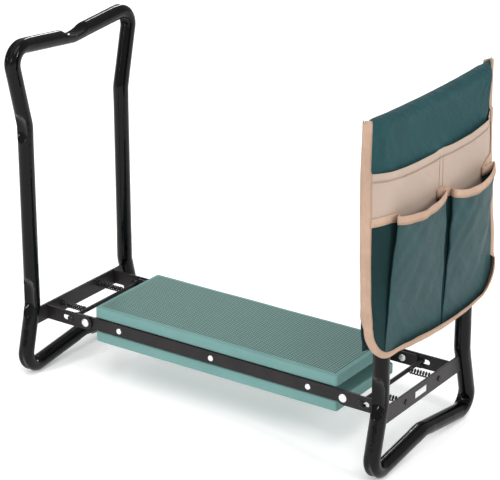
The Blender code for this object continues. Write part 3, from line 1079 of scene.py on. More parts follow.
    def _bead(self, name: str, start: Vector, end: Vector, facing: Vector,
              radius: float) -> bpy.types.Object:
        """A rippled weld bead along a straight joint.

        Args:
            name: The bead's name.
            start: One end.
            end: The other end.
            facing: Outward direction.
            radius: The bead's radius.

        Returns:
            The bead.
        """
        run = end - start
        count = max(8, round(run.length / 0.0009))
        across = run.normalized().cross(facing).normalized()
        rows = []
        for i in range(count + 1):
            share = i / count
            swell = radius * (0.82 + 0.18 * abs(math.sin(share * run.length / 0.0024 * math.pi)))
            swell *= math.sqrt(max(0.05, 1 - abs(2 * share - 1) ** 6))
            middle = start + run * share
            row = []
            for angle in around(10):
                row.append(middle + across * (swell * math.cos(angle))
                           + facing * (swell * 0.8 * math.sin(angle)))
            rows.append(row)
        return loft(name, rows, ring=True, capped=True)

    def _welds(self) -> None:
        """Beads where the cross plate meets the legs, and where the arms meet the plate."""
        low, high = corners(f"{self.side}_cross_plate")
        outer_x = low.x if self.outward < 0 else high.x
        inner_x = high.x if self.outward < 0 else low.x
        out = Vector((self.outward, 0, 0))
        for end, sign in ENDS:
            foot = Vector((outer_x, sign * (high.y - 0.0006), low.z + 0.001))
            head = Vector((outer_x, sign * (high.y - 0.0066), high.z - 0.001))
            bead = self._bead(f"{self.side}_{end}_plate_weld", foot, head, out, 0.0013)
            self.settle(bead, Coat.TUBE, self.body)
            arm_low, arm_high = corners(f"{self.side}_{end}_arm")
            face = arm_high.y if sign > 0 else arm_low.y
            foot = Vector((inner_x - self.outward * 0.0004, face, arm_low.z + 0.0012))
            head = Vector((inner_x - self.outward * 0.0004, face, arm_high.z - 0.0012))
            bead = self._bead(f"{self.side}_{end}_arm_weld", foot, head, Vector((0, sign, 0)), 0.0011)
            self.settle(bead, Coat.BAR, self.body)


# ---------------------------------------------------------------- locks


@dataclass
class LockSet(Assembly):
    """The sprung rod of one side frame, with its clips and springs."""

    side: str
    wire: float = 0.00105
    turns: float = 10.5
    travel: float = 0.009

    def build(self) -> None:
        """Makes the rod, its clips and its springs."""
        self.outward = -1.0 if self.side == "left" else 1.0
        self._rod()
        for end in ("front", "rear"):
            self._clip(end)
            self._spring(end)

    def _rod(self) -> None:
        """The rod, with chamfered ends."""
        node = f"{self.side}_lock_rod"
        low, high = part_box(node)
        centre = middle_of(node)
        radius, half = (high[2] - low[2]) / 2, (high[1] - low[1]) / 2
        edge = 0.0007
        profile = [(0.0001, half), (radius - edge, half), (radius - edge * 0.3, half - edge * 0.4),
                   (radius, half - edge), (radius, half * 0.4), (radius, -half * 0.4),
                   (radius, edge - half), (radius - edge * 0.3, edge * 0.4 - half),
                   (radius - edge, -half), (0.0001, -half)]
        rod = Turned.build(f"{self.side}_lock_bar", profile[::-1], tuple(centre), (0, 1, 0))
        rod.data.set_sharp_from_angle(angle=math.radians(50))
        self.settle(rod, Coat.BAR, f"{self.side}_lock", [node])

    def _clip(self, end: str) -> None:
        """A dished push-on clip round the rod.

        Args:
            end: Front or rear.
        """
        node = f"{self.side}_{end}_lock_clip"
        low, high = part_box(node)
        centre = middle_of(node)
        outer, half = (high[2] - low[2]) / 2, (high[1] - low[1]) / 2
        sign = 1.0 if centre.y > 0 else -1.0
        inner = outer * 0.69
        profile = [(inner, half), (outer * 0.82, half * 0.95), (outer * 0.96, half * 0.45),
                   (outer, -half * 0.2), (outer * 0.98, -half), (outer * 0.86, -half),
                   (inner, -half * 0.6), (inner, half)]
        clip = Turned.build(f"{self.side}_{end}_push_clip", profile, tuple(centre), (0, sign, 0), 30)
        self.settle(clip, Coat.SPRING, f"{self.side}_lock", [node])

    def _spring(self, end: str) -> None:
        """A coil spring with closed ends, built at its rest length; the real one shortens as the rod is
        drawn.

        Args:
            end: Front or rear.
        """
        node = f"{self.side}_{end}_lock_spring"
        low, high = corners(node)
        centre = middle_of(node)
        coil = (high.z - low.z) / 2 - self.wire
        start, stop = low.x + self.wire, high.x - self.wire
        steps = round(self.turns * 26)
        line = []
        for i in range(steps + 1):
            share = i / steps
            closed = clamp((share * self.turns - 0.9) / (self.turns - 1.8))
            pitch = lerp(closed, share, 0.12)
            angle = 2 * math.pi * self.turns * share
            line.append(Vector((lerp(start, stop, pitch), centre.y + coil * math.cos(angle),
                                centre.z + coil * math.sin(angle))))
        rows = []
        for i, point in enumerate(line):
            ahead = (line[min(i + 1, steps)] - line[max(i - 1, 0)]).normalized()
            side = ahead.cross(Vector((1, 0, 0))).normalized()
            up = side.cross(ahead)
            rows.append([point + side * (self.wire * math.cos(a)) + up * (self.wire * math.sin(a))
                         for a in around(9)])
        spring = loft(f"{self.side}_{end}_coil_spring", rows, ring=True, capped=True)
        self.settle(spring, Coat.SPRING, f"{self.side}_frame", [node])
        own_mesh(spring)


# ---------------------------------------------------------------- seat


@dataclass
class SeatDeck(Assembly):
    """Rails, cross bars, boards, rivets and washers."""

    edge: float = 0.0005

    def build(self) -> None:
        """Makes every metal piece of the seat."""
        for rail in ("front_rail", "rear_rail"):
            self.edged(rail, Coat.BAR, self.edge)
        for where in ("left", "centre", "right"):
            self.edged(f"cross_bar_{where}", Coat.BAR, 0.0004)
        for board in ("upper_board", "lower_board"):
            self.edged(board, Coat.BOARD, 0.0004)
        for end in ("front", "rear"):
            for where in ("left", "centre", "right"):
                self._rivet(f"rail_rivet_{end}_{where}", 0.0016)
            for where in ("left", "right"):
                self._rivet(f"pivot_rivet_{end}_{where}", 0.0022)
                self._washer(f"pivot_washer_{end}_{where}")

    def _rivet(self, node: str, height: float) -> None:
        """A domed rivet: head with a rolled rim, shank and set tail.

        Args:
            node: The CAD node.
            height: The head's height.
        """
        low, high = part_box(node)
        centre = middle_of(node)
        sign = 1.0 if centre.y > 0 else -1.0
        length = high[1] - low[1]
        head = (high[2] - low[2]) / 2
        shank = head * 0.52
        profile = []
        for k in range(9):
            angle = math.pi / 2 * k / 8
            profile.append((max(0.0001, head * 0.97 * math.sin(angle)),
                            height * (0.16 + 0.84 * math.cos(angle))))
        profile += [(head, height * 0.10), (head * 0.97, 0.0), (shank, 0.0)]
        tail = length - height
        profile += [(shank, -tail + head * 0.3), (head * 0.84, -tail + head * 0.26),
                    (head * 0.78, -tail + head * 0.08), (head * 0.6, -tail), (0.0001, -tail)]
        top = centre.y + sign * length / 2
        origin = (centre.x, top - sign * height, centre.z)
        rivet = Turned.build(f"{node}_dome", profile[::-1], origin, (0, sign, 0))
        rivet.data.set_sharp_from_angle(angle=math.radians(50))
        self.settle(rivet, Coat.RIVET, "seat", [node])

    def _washer(self, node: str) -> None:
        """A thin washer between arm and rail.

        Args:
            node: The CAD node.
        """
        low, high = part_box(node)
        centre = middle_of(node)
        outer, half = (high[2] - low[2]) / 2, (high[1] - low[1]) / 2
        inner = 0.0031
        profile = [(inner, half), (outer - half * 0.5, half), (outer, half * 0.3), (outer, -half * 0.3),
                   (outer - half * 0.5, -half), (inner, -half), (inner, half)]
        washer = Turned.build(f"{node}_ring", profile, tuple(centre), (0, 1, 0))
        self.settle(washer, Coat.PLASTIC, "seat", [node])


@dataclass
class FoamPad(Assembly):
    """One moulded foam pad with soft edges and a pipped face inside a smooth border."""

    node: str
    face_up: bool
    corner: float = 0.0036
    edge: float = 0.0019
    border: float = 0.0065
    lift: float = 0.0005
    grid: float = 0.0020

    def build(self) -> None:
        """Makes the pad."""
        self.low, self.high = corners(self.node)
        half_x, half_y = (self.high.x - self.low.x) / 2, (self.high.y - self.low.y) / 2
        self.mid = (self.low + self.high) / 2
        thick = (self.high.z - self.low.z) / 2
        rows = []
        levels = [(-thick, self.edge)]
        for k in range(1, 6):
            angle = math.pi / 2 * k / 5
            levels.append((-thick + self.edge * (1 - math.cos(angle)), self.edge * (1 - math.sin(angle))))
        sides = [(-thick + self.edge + (2 * thick - 2 * self.edge) * k / 5, 0.0) for k in range(1, 5)]
        upper = [(-z, inset) for z, inset in reversed(levels)]
        for z, inset in [*levels, *sides, *upper]:
            rows.append(self._outline(half_x - inset, half_y - inset, self.corner - inset * 0.6, z))
        for inset, rise in self._face_steps():
            rounding = max(0.004, self.corner - inset)
            rows.append(self._outline(half_x - inset, half_y - inset, rounding, thick + rise))
        flat = []
        for inset in (self.edge + 0.004, self.edge + 0.012, self.edge + 0.030, 0.060):
            rounding = max(0.003, self.corner - inset)
            flat.append(self._outline(half_x - inset, half_y - inset, rounding, -thick))
        rows = [*flat[::-1], *rows]
        if not self.face_up:
            rows = [[(x, y, 2 * self.mid.z - z) for x, y, z in row] for row in rows]
        pad = loft(f"{self.node}_foam", rows, ring=True, capped=True)
        pad.data.materials.append(Coat.FOAM_SIDE.material)
        pad.data.materials.append(Coat.FOAM_FACE.material)
        for face in pad.data.polygons:
            x, y, z = face.center
            inside = abs(x - self.mid.x) < half_x - self.border and abs(y) < half_y - self.border
            towards = (z - self.mid.z) * (1 if self.face_up else -1)
            if inside and towards > thick * 0.9:
                face.material_index = 1
        pad.data.set_sharp_from_angle(angle=math.radians(60))
        if not self.face_up:
            pad.data.flip_normals()
        self.settle(pad, Coat.FOAM_SIDE, "seat", [self.node])

    def _face_steps(self) -> list[tuple[float, float]]:
        """The face inwards from its smooth border to the lifted pipped field.

        Returns:
            (inset, rise) of each ring.
        """
        edge = self.edge
        steps = [(edge + 0.0012, 0.0), (self.border - 0.0007, -0.0001), (self.border, self.lift * 0.5),
                 (self.border + 0.0006, self.lift)]
        steps += [(self.border + 0.004 + 0.008 * k, self.lift * (1 + 0.06 * k)) for k in range(8)]
        return steps

    def _outline(self, half_x: float, half_y: float, radius: float, z: float) -> list[Point]:
        """A round-cornered ring of points, gently uneven as moulded foam is.

        Args:
            half_x: Half its length.
            half_y: Half its width.
            radius: Corner radius.
            z: Height from the pad's middle.

        Returns:
            The ring.
        """
        radius = max(0.0008, radius)
        points = []
        for sign_x, sign_y, start in ((1, 1, 0), (-1, 1, 90), (-1, -1, 180), (1, -1, 270)):
            middle = (sign_x * (half_x - radius), sign_y * (half_y - radius))
            corner = [math.radians(start + 90 * k / 8) for k in range(9)]
            points += [(middle[0] + radius * math.cos(a), middle[1] + radius * math.sin(a)) for a in corner]
        filled: list[tuple[float, float]] = []
        for i, (x, y) in enumerate(points):
            after = points[(i + 1) % len(points)]
            run = math.dist((x, y), after)
            count = 24 if i in (8, 26) else 9 if i in (17, 35) else 1
            filled += [(lerp(x, after[0], k / count), lerp(y, after[1], k / count)) for k in range(count)]
            if run <= 0:
                filled.pop()
        ring = []
        for x, y in filled:
            wave = ruffle((x, y, z), (14.0, 14.0, 30.0), 3.0)
            ring.append((x + self.mid.x, y + 0.00035 * wave, z + self.mid.z + 0.00018 * wave))
        return ring


# ---------------------------------------------------------------- tool bag


@dataclass
class BagShape:
    """Where the bag's cloth lies: the hood's front and back, and its outline."""

    frame_x: float
    bottom: float
    top: float
    half_width: float = 0.1590
    corner: float = 0.050
    flat_half: float = 0.1110
    front_gap: float = 0.0124
    back_gap: float = 0.0124
    left_edge: tuple[tuple[float, float], ...] = (
        (0.178, 0.0115), (0.225, 0.0062), (0.270, 0.0010), (0.330, -0.0010),
        (0.420, -0.0026), (0.494, -0.0010))
    right_edge: tuple[tuple[float, float], ...] = (
        (0.178, 0.0128), (0.250, 0.0100), (0.300, 0.0058), (0.385, 0.0004),
        (0.440, -0.0030), (0.494, -0.0025))

    def edge_x(self, y: float, z: float) -> float:
        """Where the side seam stands out, at a height."""
        table = self.left_edge if y < 0 else self.right_edge
        return self.frame_x + along(table, z)

    def bottom_z(self, y: float) -> float:
        """The lower edge, which hangs a little lower past the middle."""
        return self.bottom - 0.0088 * (1 - clamp(abs(y - 0.035) / 0.125) ** 2)

    def belly(self, y: float, z: float) -> float:
        """How far the middle of the front hangs out."""
        level = along(((0.178, 0.0018), (0.300, 0.0030), (0.400, 0.0016), (0.475, 0.0)), z)
        return level * (1 - clamp(abs(y) / 0.14) ** 2)

    def past_flat(self, y: float) -> float:
        """0 over the flat middle of the hood, rising to 1 at its side seams."""
        return clamp((abs(y) - self.flat_half) / (self.half_width - self.flat_half))

    def side_share(self, y: float) -> float:
        """1 over the middle of the hood, easing to 0 at its side seams."""
        t = self.past_flat(y)
        return 1 - t ** (2.0 if y < 0 else 1.35)

    def tube_x(self, y: float, z: float) -> float:
        """How far the cloth stands off the frame's middle plane to clear the tube under it.

        Args:
            y: Place across the bag.
            z: Height.

        Returns:
            The distance.
        """
        centre = lerp(0.1065, 0.1305, clamp((z - 0.369) / 0.105))
        away = abs(y) - centre
        if away < 0 and z > 0.445:
            away = 0.0
        reach = 1 - (away / 0.0138) ** 2
        return 0.0124 * math.sqrt(reach) if reach > 0 and z > 0.2 else 0.0

    def front_x(self, y: float, z: float) -> float:
        """The front panel's place in X.

        Args:
            y: Place across the bag.
            z: Height.

        Returns:
            The place in X.
        """
        edge = self.edge_x(y, z)
        middle = self.frame_x + self.front_gap + self.belly(y, z)
        wave = 0.0012 * ruffle((0, y + 0.4 * z, z), (0, 34, 11), 1.7) * clamp((0.475 - z) / 0.03)
        free = lerp(edge, middle + wave, self.side_share(y))
        return max(free, self.frame_x + self.tube_x(y, z))

    def back_x(self, y: float, z: float) -> float:
        """The back panel's place in X.

        Args:
            y: Place across the bag.
            z: Height.

        Returns:
            The place in X.
        """
        edge = self.edge_x(y, max(z, 0.235)) - 0.0012
        wave = 0.0010 * ruffle((0, y, z), (0, 20, 10), 5.2) * clamp((0.46 - z) / 0.1)
        hang = along(((0.178, -0.0035), (0.30, -0.0015), (0.42, 0.0)), z)
        t = self.past_flat(y)
        free = lerp(edge, self.frame_x - self.back_gap + wave + hang, 1 - t * t)
        return min(free, self.frame_x - self.tube_x(y, z))

    def top_z(self, y: float) -> float:
        """The fold over the handle, which sags over the handle's dip and stands up at the corners.

        Args:
            y: Place across the bag.

        Returns:
            Its height.
        """
        share = clamp(abs(y) / 0.132)
        sag = 0.0030 * (1 - share ** 2)
        tip = 0.0012 * smooth((abs(y) - 0.140) / 0.018)
        return self.top - sag - 0.0010 + tip + 0.0004 * ruffle((0, y, 0), (0, 40, 0), 2.2)

    def half_width_at(self, z: float, inset: float = 0.0) -> float:
        """Half the panel's width at a height, with its lower corners rounded.

        Args:
            z: Height.
            inset: How far inside the edge.

        Returns:
            Half the width.
        """
        radius = self.corner - inset
        low = self.bottom + inset
        half = self.half_width - inset
        if z >= low + radius:
            return half
        drop = clamp((low + radius - z) / radius)
        return half - radius + radius * math.sqrt(max(0.0, 1 - drop * drop))

    def outline(self, inset: float, steps: int = 22) -> list[tuple[float, float]]:
        """The panel's edge from the top of its left side, round the bottom, to the top of its right side.

        Args:
            inset: How far inside the edge.
            steps: Points on each rounded corner.

        Returns:
            Points in Y and Z.
        """
        half, radius = self.half_width - inset, self.corner - inset
        straight = 60
        top = self.top + 0.0008
        level = self.bottom + self.corner
        points = [(-half, lerp(top, level, k / straight)) for k in range(straight)]
        for k in range(steps + 1):
            angle = math.radians(180 + 90 * k / steps)
            y = -half + radius + radius * math.cos(angle)
            points.append((y, level + radius * math.sin(angle)))
        for k in range(1, 50):
            y = lerp(-half + radius, half - radius, k / 50)
            points.append((y, level - radius))
        for k in range(steps + 1):
            angle = math.radians(270 + 90 * k / steps)
            y = half - radius + radius * math.cos(angle)
            points.append((y, level + radius * math.sin(angle)))
        points += [(half, lerp(level, top, k / straight)) for k in range(1, straight + 1)]
        return [(y, z + (self.bottom_z(y) - self.bottom) * smooth((level - z) / radius)) for y, z in points]


@dataclass
class ToolBag(Assembly):
    """The slip-over bag: hood, wide pocket, two pleated pockets, tapes and stitching."""

    cloth: float = 0.0007
    tape_width: float = 0.0100
    tape_stand: float = 0.0009
    pocket_top: float = 0.3700
    pocket_low: float = 0.1860
    columns: int = 90
    shape: BagShape = field(init=False)

    def build(self) -> None:
        """Makes every cloth piece of the bag."""
        low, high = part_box("right_side_frame")
        self.shape = BagShape((low[0] + high[0]) / 2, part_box("bag_binding")[0][2], high[2] + 0.0020)
        self._hood()
        self._wide_pocket()
        for side, sign in SIDES:
            self._pleated_pocket(side, sign)
        self._binding()
        self._stitching()

    def _sewn(self, piece: bpy.types.Object, coat: Coat, replaces: Sequence[str], flat: tuple[float, float],
              held: str, area: Optional[float] = None) -> None:
        """Thickens and dresses a sewn sheet, and fixes it to the right frame.

        Args:
            piece: The sheet.
            coat: Its finish.
            replaces: CAD nodes that it stands for.
            flat: Its flat width and length. Not used.
            held: How it is held. Not used.
            area: Its flat area, if it isn't a rectangle. Not used.
        """
        thicken(piece, self.cloth)
        self.settle(piece, coat, "right_frame", replaces)

    def _hood(self) -> None:
        """One panel from the front's lower edge, over the handle, to the back's lower edge."""
        s = self.shape
        shares = [lerp(-1.0, 1.0, c / self.columns) for c in range(self.columns + 1)]
        levels = 56
        fold = 10
        rows = []
        for r in range(levels + 1):
            rows.append([self._panel_point(share, r / levels, s.front_x) for share in shares])
        for k in range(1, fold):
            angle = math.pi * k / fold
            row = []
            for share in shares:
                y = share * s.half_width * 0.996
                start, end, rise = self._shoulder(y)
                middle, half = (start + end) / 2, (start - end) / 2
                row.append((middle + half * math.cos(angle), y, s.top_z(y) - rise + rise * math.sin(angle)))
            rows.append(row)
        for r in range(levels + 1):
            rows.append([self._panel_point(share, 1 - r / levels, s.back_x) for share in shares])
        hood = loft("bag_hood", rows)
        height = s.top - s.bottom
        flat = (2 * s.half_width, 2 * height + 0.012)
        self._sewn(hood, Coat.GREEN, ["bag_front_panel", "bag_top_fold", "bag_back_panel"], flat, "hung")

    def _shoulder(self, y: float) -> tuple[float, float, float]:
        """Where the hood turns over the handle.

        Args:
            y: Place across the bag.

        Returns:
            The front's and back's place in X, and how high the fold rises.
        """
        s = self.shape
        front, back = s.front_x(y, s.top - 0.010), s.back_x(y, s.top - 0.010)
        return front, back, min(0.0105, abs(front - back) * 0.48 + 0.0008)

    def _panel_point(self, share: float, level: float, surface: Callable[[float, float], float]) -> Point:
        """A point of a hood panel.

        Args:
            share: Place across it, from -1 to 1.
            level: 0 at its lower edge, 1 at its shoulder.
            surface: The panel's place in X.

        Returns:
            The point.
        """
        s = self.shape
        full = share * s.half_width * 0.996
        top = s.top_z(full) - self._shoulder(full)[2]
        low = s.bottom + 0.0010
        z = lerp(low, top, level ** 0.9)
        half = s.half_width_at(z, 0.0008)
        y = share * half
        z += (s.bottom_z(y) - s.bottom) * (1 - level) ** 3
        if z > s.bottom + s.corner:
            y = lerp(y, full, smooth((z - s.bottom - s.corner) / 0.03))
        crease = self._creases(y, z)
        return (surface(y, z) + crease, y, z)

    def _creases(self, y: float, z: float) -> float:
        """Tension creases that run down from the hood's top corners.

        Args:
            y: Place across the bag.
            z: Height.

        Returns:
            How far they stand out.
        """
        s = self.shape
        total = 0.0
        for sign, size in ((-1.0, 1.0), (1.0, 0.7)):
            dy, dz = sign * 0.138 - y, s.top - 0.006 - z
            away = math.hypot(dy, dz)
            angle = math.atan2(dz, -sign * dy + 1e-6) if away > 1e-6 else 0.0
            fade = smooth(away / 0.018) * (1 - smooth(away / 0.085))
            total += size * 0.0009 * fade * math.sin(angle * 13 + 6 * away / 0.06)
        return total * clamp(s.side_share(y) * 1.4 - 0.2)

    def _wide_top(self, y: float) -> float:
        """The upper edge of the wide pocket, which dips in the middle."""
        return 0.4195 + 0.0085 * clamp(abs(y) / 0.155) ** 2

    def _wide_x(self, y: float, z: float) -> float:
        """The wide pocket's face, standing off the hood and drawn in by its middle seam.

        Args:
            y: Place across the bag.
            z: Height.

        Returns:
            The place in X.
        """
        s = self.shape
        top = self._wide_top(y)
        open_share = smooth((z - 0.33) / (top - 0.33))
        stand = 0.0012 + 0.0030 * open_share * abs(math.sin(math.pi * clamp(abs(y) / 0.150))) ** 0.8
        stand *= 1.0 if y < 0 else 1.45
        seam = 1 - 0.85 * math.exp(-((abs(y) - 0.004) / 0.007) ** 2)
        stand = 0.0010 + (stand - 0.0010) * seam
        stand *= lerp(0.45, 1.0, s.side_share(y))
        wave = 0.0007 * ruffle((0, y, z), (0, 22, 14), 8.4) * s.side_share(y)
        return s.front_x(y, z) + self.cloth + stand + wave

    def _wide_pocket(self) -> None:
        """The flat pocket over the whole width, with a turned hem along its mouth."""
        s = self.shape
        rows = []
        levels = 60
        for r in range(levels + 1):
            row = []
            for c in range(self.columns + 1):
                share = lerp(-1.0, 1.0, c / self.columns)
                y = share * (s.half_width - 0.0016)
                z = lerp(s.bottom + 0.0020, self._wide_top(y), (r / levels) ** 0.85)
                y = share * s.half_width_at(z, 0.0016)
                z += (s.bottom_z(y) - s.bottom) * (1 - r / levels) ** 3
                row.append((self._wide_x(y, z), y, z))
            rows.append(row)
        pocket = loft("bag_wide_pocket_cloth", rows)
        self._sewn(pocket, Coat.BEIGE, ["bag_wide_pocket"], (0.316, 0.250), "hung")
        hem = []
        for c in range(self.columns + 1):
            y = lerp(-1.0, 1.0, c / self.columns) * (s.half_width - 0.0020)
            top = self._wide_top(y)
            x, face = self._wide_x(y, top), self.cloth * 0.9
            drop = 0.0115
            low_x = self._wide_x(y, top - drop)
            hem.append([(low_x + face * 0.5, y, top - drop),
                        (lerp(x, low_x, 0.5) + face * 0.8, y, top - drop / 2),
                        (x + face, y, top - 0.0004), (x + face * 0.4, y, top + 0.0006),
                        (x - face * 0.4, y, top + 0.0006), (x - face, y, top - 0.0004),
                        (low_x - face, y, top - drop)])
        piece = loft("bag_wide_pocket_hem", hem)
        thicken(piece, 0.0004)
        self.settle(piece, Coat.BEIGE, "right_frame")

    def _mouth_z(self, sign: float, y: float) -> float:
        """The upper edge of a pleated pocket.

        Args:
            sign: -1 for the left pocket, 1 for the right one.
            y: Place across the bag.

        Returns:
            Its height.
        """
        middle = clamp(1 - ((abs(y) - 0.060) / 0.062) ** 2)
        sag = 0.0065 if sign < 0 else 0.0130
        return self.pocket_top - sag * middle

    def _pleat_row(self, sign: float, height: float) -> list[Vector]:
        """One level of a pleated pocket, from the side binding to the bag's middle.

        Args:
            sign: -1 for the left pocket, 1 for the right one.
            height: 0 at the bottom, 1 at the mouth.

        Returns:
            Points (distance out, Y) along the folded cloth, as 2D vectors.
        """
        rise = height ** 1.12
        middle = lerp(0.0120, 0.0050, height)
        deep = lerp(0.0010, 0.0125, rise) * (1.0 if sign < 0 else 1.08)
        belly = lerp(0.0002, 0.0062, rise) * (1.0 if sign < 0 else 1.25)
        outer_fold = lerp(0.1262, 0.1020, height)
        outer_edge = lerp(0.1285, 0.1238, height)
        near = sign * middle + lerp(0.0012, 0.0072, height)
        under = near + lerp(0.0010, 0.0110, height)
        belly_steps = 42
        stops = [
            (0.0006, 0.1520, 10),
            (0.0009, outer_fold, 10),
            (deep, outer_edge, belly_steps),
            (deep * 0.92, near, 8),
            (0.0009, under, 6),
            (0.0006, sign * middle + 0.0004, 0),
        ]
        line: list[Vector] = []
        for (out, y, count), (next_out, next_y, _) in zip(stops, stops[1:]):
            for k in range(count):
                share = k / count
                bulge = belly * 4 * share * (1 - share) if count == belly_steps else 0.0
                line.append(Vector((lerp(out, next_out, share) + bulge, lerp(y, next_y, share))))
        line.append(Vector(stops[-1][:2]))
        return [Vector((p.x, sign * p.y)) for p in eased(line, 4)]

    def _pocket_point(self, sign: float, height: float, place: Vector, drop: float = 0.0) -> Point:
        """A point of a pleated pocket's cloth, on the bag.

        Args:
            sign: -1 for the left pocket, 1 for the right one.
            height: 0 at the bottom, 1 at the mouth.
            place: (distance out, Y) along the folded cloth.
            drop: How far below that level.

        Returns:
            The point.
        """
        y = place.y
        top = self._mouth_z(sign, y)
        low = self._pocket_bottom(y)
        z = lerp(low, top, height) - drop
        base = self._wide_x(y, z) + self.cloth
        free = clamp(place.x / 0.006) * smooth(height * 3)
        lean = 0.0016 * ruffle((0, y * 0.8 - z * 0.6, z * 0.8 + y * 0.6), (0, 60, 12), 4.0 + sign) * free
        lean += 0.0010 * ruffle((0, y, z), (0, 38, 30), 9.0 + sign) * free
        return (base + place.x + lean, y, z)

    def _pocket_bottom(self, y: float) -> float:
        """The lower edge of the pleated pockets, under the bag's tape.

        Args:
            y: Place across the bag.

        Returns:
            Its height.
        """
        s = self.shape
        a = min(abs(y), s.half_width - 0.004)
        flat = s.half_width - s.corner
        rise = 0.0
        if a > flat:
            reach = s.corner - 0.0035
            rise = reach - math.sqrt(max(0.0, reach ** 2 - min(a - flat, reach) ** 2))
        return s.bottom_z(y) + 0.0045 + rise

    def _pleated_pocket(self, side: str, sign: float) -> None:
        """One green pocket, with pleats at both sides, painted shade on its pleat faces, and tape on its
        mouth.

        Args:
            side: Which pocket.
            sign: -1 for the left pocket, 1 for the right one.
        """
        levels = 48
        rows = []
        for r in range(levels + 1):
            height = r / levels
            rows.append([self._pocket_point(sign, height, p) for p in self._pleat_row(sign, height)])
        if sign > 0:
            rows = [row[::-1] for row in rows]
        pocket = loft(f"bag_{side}_pocket_cloth", rows)
        pocket.data.materials.append(Coat.POCKET.material)
        # Painted shade: the left pocket's outer pleat and each pocket's inner fold by the middle get the
        # darker cloth.
        pocket.data.materials.append(Coat.PLEAT_SHADE.material)
        fold = len(rows[0]) - 1
        outer_shade_end, inner_shade_start = 20, 64
        for face in pocket.data.polygons:
            column = face.index % fold if sign < 0 else fold - 1 - face.index % fold
            if column > inner_shade_start or sign < 0 and column < outer_shade_end:
                face.material_index = 1
        self._sewn(pocket, Coat.POCKET, [f"bag_pocket_{side}"], (0.200, 0.188), "gathered")
        self._mouth_tape(side, sign)

    def _mouth_tape(self, side: str, sign: float) -> None:
        """The tape folded over the mouth of one pleated pocket.

        Args:
            side: Which pocket.
            sign: -1 for the left pocket, 1 for the right one.
        """
        row = self._pleat_row(sign, 1.0)
        normals = []
        for i in range(len(row)):
            run = row[min(i + 1, len(row) - 1)] - row[max(i - 1, 0)]
            run = run.normalized() if run.length > 1e-9 else Vector((0, 1))
            normals.append(Vector((run.y, -run.x)) * -sign)
        stand, width = self.tape_stand, self.tape_width
        strips = []
        section = ((width, stand), (width * 0.5, stand * 1.15), (0.0003, stand), (-stand, stand * 0.45),
                   (-stand, -stand * 0.45), (0.0003, -stand), (width * 0.5, -stand * 1.15), (width, -stand))
        for place, normal in zip(row, normals):
            strip = []
            for drop, out in section:
                strip.append(self._pocket_point(sign, 1.0, place + normal * out, drop))
            strips.append(strip)
        tape = loft(f"bag_{side}_pocket_tape", strips)
        thicken(tape, 0.0004)
        self.settle(tape, Coat.TAPE, "right_frame")

    def _binding(self) -> None:
        """The tape folded over the bag's side and lower edges."""
        s = self.shape
        stand = self.tape_stand
        layers = [0.0110, 0.0082, 0.0054, 0.0026, 0.0006]
        outlines = {inset: s.outline(inset) for inset in layers}
        count = len(outlines[layers[0]])
        rows = []
        for i in range(count):
            front = []
            rim = outlines[layers[-1]][i]
            spread = self._tape_spread(*rim)
            for inset in layers:
                y, z = (lerp(out, held, spread) for out, held in zip(rim, outlines[inset][i]))
                front.append(Vector((self._bound_x(y, z), y, z)))
            facing = self._facing(front[3] - front[1], outlines[0.0082][i], outlines[0.0026][i])
            thick = stand * (1.25 + 0.12 * ruffle(front[2], (60, 60, 60), 6.1))
            outer = [p + facing * thick for p in front]
            inner = [self._behind(p) - Vector((thick, 0, 0)) for p in front]
            edge = front[-1] + (front[-1] - front[-2]).normalized() * thick
            rows.append([*outer, edge, *reversed(inner)])
        tape = loft("bag_edge_tape", rows)
        thicken(tape, 0.0005)
        self.settle(tape, Coat.TAPE, "right_frame", ["bag_binding"])
        for end, sign in ENDS:
            self._tape_end(end, sign)

    def _tape_spread(self, y: float, z: float) -> float:
        """The tape's width against its even one: narrow at the left, spread along the bottom."""
        low = smooth((self.shape.bottom + 0.060 - z) / 0.050)
        return lerp(lerp(0.90, 0.72, low), lerp(1.0, 1.28, low), smooth((y + 0.135) / 0.080))

    def _behind(self, place: Vector) -> Vector:
        """The place under the tape's inner side: the back panel, or the front one below the seams.

        Args:
            place: A point under the tape's outer side.

        Returns:
            The point behind it.
        """
        s = self.shape
        share = smooth((place.z - 0.226) / 0.020)
        inner = s.front_x(place.y, place.z) - 0.0008
        return Vector((lerp(inner, min(inner, s.back_x(place.y, place.z)), share), place.y, place.z))

    def _bound_x(self, y: float, z: float) -> float:
        """The middle of the layers that the tape holds.

        Args:
            y: Place across the bag.
            z: Height.

        Returns:
            The place in X.
        """
        s = self.shape
        if z > self._wide_top(y) + 0.002:
            return s.front_x(y, min(z, s.top))
        inset = min(s.half_width_at(z) - abs(y), z - s.bottom_z(y)) if z < s.bottom + s.corner else 0.0
        over = lerp(0.0012, 0.0080, smooth((y + 0.125) / 0.05)) * clamp(inset / 0.010)
        over = 0.0008 + over * smooth((s.bottom + 0.100 - z) / 0.075)
        return lerp(s.front_x(y, z), self._wide_x(y, z), 0.75) + over

    @staticmethod
    def _facing(across: Vector, near: Sequence[float], far: Sequence[float]) -> Vector:
        """The outward direction of the tape at one place.

        Args:
            across: Direction across the tape.
            near: (Y, Z) of its inner edge.
            far: (Y, Z) of its outer edge.

        Returns:
            The unit direction.
        """
        run = Vector((0.0, -(far[1] - near[1]), far[0] - near[0]))
        facing = across.cross(run)
        if facing.length < TINY:
            return Vector((1, 0, 0))
        facing.normalize()
        return facing if facing.x > 0 else -facing

